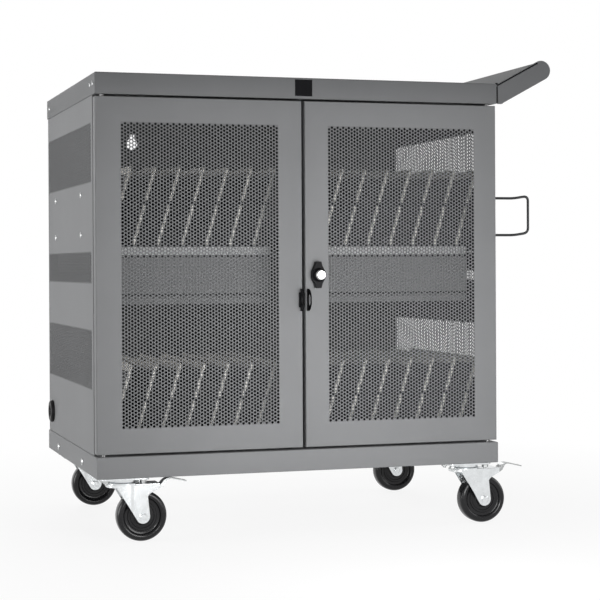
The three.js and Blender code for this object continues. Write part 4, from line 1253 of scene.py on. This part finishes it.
def pedal_depth(share):
    """The pressed pedal is deepest at its crest."""
    return PEDAL_SHEET / 2 + PEDAL_CREST * sin(pi * min(share * PEDAL_FADE, 1)) ** 2


def pedal_piece(name, swivel):
    node = f"{name}_brake_pedal"
    low, high = local_box(node)
    middle_y = (low.y + high.y) / 2
    pivot_x = swivel[0] + PEDAL_PIVOT[0]
    pivot_z = PEDAL_PIVOT[1]
    corners = [Vector((pivot_x + u, pivot_z + v, 0)) for u, v in PEDAL_ROUTE]
    corners.append(Vector((high.x - PEDAL_TIP_INSET, pivot_z + PEDAL_TIP_RISE, 0)))
    route = filleted(corners, PEDAL_BEND)
    rings = []
    for i, place in enumerate(route):
        along = heading(route, i)
        normal = Vector((-along.y, along.x, 0))
        share = i / (len(route) - 1)
        half = PEDAL_HALF - PEDAL_TAPER * share
        top = place + normal * PEDAL_SHEET / 2
        under = place - normal * pedal_depth(share)
        near, far = middle_y - half, middle_y + half
        ring = [(top.x, near, top.y), (top.x, far, top.y), (under.x, far, under.y), (under.x, near, under.y)]
        rings.append(ring)
    form = lofted(Form(), rings)
    disc(form, PEDAL_PIN, (pivot_x, middle_y, pivot_z), (0, 1, 0), low.y - middle_y, high.y - middle_y)
    shown(node, form, pedal_shade_zinc, "zinc_steel", f"{name}_brake", bevel=0.6)


def caster_pieces(name):
    caster = f"{name}_caster"
    wheel_low, wheel_high = local_box(caster + "_wheel")
    plate_low, plate_high = local_box(caster + "_plate")
    swivel = ((plate_low.x + plate_high.x) / 2, (plate_low.y + plate_high.y) / 2)
    axle = ((wheel_low.x + wheel_high.x) / 2, swivel[1], (wheel_low.z + wheel_high.z) / 2)
    wheel_piece(caster + "_wheel", axle)
    plate_pieces(caster, swivel, plate_low, plate_high)
    fork_pieces(caster, swivel, axle, local_box(caster + "_fork")[1].z)
    if name.startswith("front"):
        pedal_piece(name, swivel)


for name in ("front_left", "front_right", "rear_left", "rear_right"):
    caster_pieces(name)

# Fasteners and the blank badge plate
SCREW_RADIUS = 4.6
SCREW_SINK = 0.2
SCREW_CORE = 0.12  # share of the radius
SCREW_DOME = ((1, 0.35), (0.85, 0.8))  # shares of the radius and the rise
SOCKET_EDGE = 0.08  # share of the radius
SOCKET_TAPER = 0.86
SOCKET_FLOOR = 0.4  # share of the rise
PANEL_SCREW_RADIUS = 6.2
PANEL_SCREW_RISE = 2.4
PANEL_SCREW_COLUMNS = (168, 486)  # the right panel has the rear ones only
PANEL_SCREW_ROWS = (477, 558)
LID_SCREWS = (20, 49, 558)  # from the doors' face
LID_SCREW_HEIGHT = 769
BASE_BOLTS = (156, 451)
BASE_BOLT_HEIGHT = 18
BASE_BOLT_RADIUS = 7.5
BASE_BOLT_RISE = 3
BASE_BOLT_SOCKET = 0.62
SOCKET_SHADE_RADIUS, SOCKET_SHADE_RISE = 3.75, 1.3  # a black disc in a bolt's socket, as painted shade for its recess
BACK_SCREW_COLUMNS = (-402, 402)
BACK_SCREW_ROWS = (90, 270, 450, 630)


def screw(form, place, axis, radius=SCREW_RADIUS, rise=1.8, socket=0.42):
    """A low domed head with a socket."""
    core = radius * SCREW_CORE
    bore = radius * socket
    bottom = rise * SOCKET_FLOOR
    profile = [(core, -SCREW_SINK), (radius, -SCREW_SINK)]
    profile += [(radius * wide, rise * tall) for wide, tall in SCREW_DOME]
    profile += [(bore + radius * SOCKET_EDGE, rise), (bore, rise)]
    profile += [(bore * SOCKET_TAPER, bottom), (core, bottom)]
    return turned(form, profile, place, axis, SMALL_STEPS)


side_screws = Form()
bolt_socket_shades = Form()
for y in LID_SCREWS:
    screw(side_screws, (lid_low.x, y, LID_SCREW_HEIGHT), (-1, 0, 0))
for x, way in ((lid_low.x, -1), (lid_high.x, 1)):
    outward = (way, 0, 0)
    for y in BASE_BOLTS:
        place = (x, y, BASE_BOLT_HEIGHT)
        screw(side_screws, place, outward, BASE_BOLT_RADIUS, BASE_BOLT_RISE, BASE_BOLT_SOCKET)
        disc(bolt_socket_shades, SOCKET_SHADE_RADIUS, place, outward, 0, SOCKET_SHADE_RISE)
for x, way in ((local_box("left_side_panel")[0].x, -1), (local_box("right_side_panel")[1].x, 1)):
    for y in PANEL_SCREW_COLUMNS if way < 0 else PANEL_SCREW_COLUMNS[1:]:
        for z in PANEL_SCREW_ROWS:
            screw(side_screws, (x, y, z), (way, 0, 0), PANEL_SCREW_RADIUS, PANEL_SCREW_RISE)
made("side_screws", side_screws, screw_steel, "zinc_steel")
made("bolt_socket_shades", bolt_socket_shades, black_coat, "black_metal")

back_screws = Form()
back_face = local_box("back_panel")[1].y
for z, x in product(BACK_SCREW_ROWS, BACK_SCREW_COLUMNS):
    screw(back_screws, (x, back_face, z), (0, 1, 0))
made("back_screws", back_screws, screw_steel, "zinc_steel")

badge_low = (BADGE_LEFT, lid_low.y - BADGE_PROUD, BADGE_BOTTOM)
badge = Form().block(badge_low, (BADGE_RIGHT, lid_low.y + BADGE_SINK, BADGE_TOP))
made("badge_plate", badge, black_coat, "black_metal", bevel=0.6)
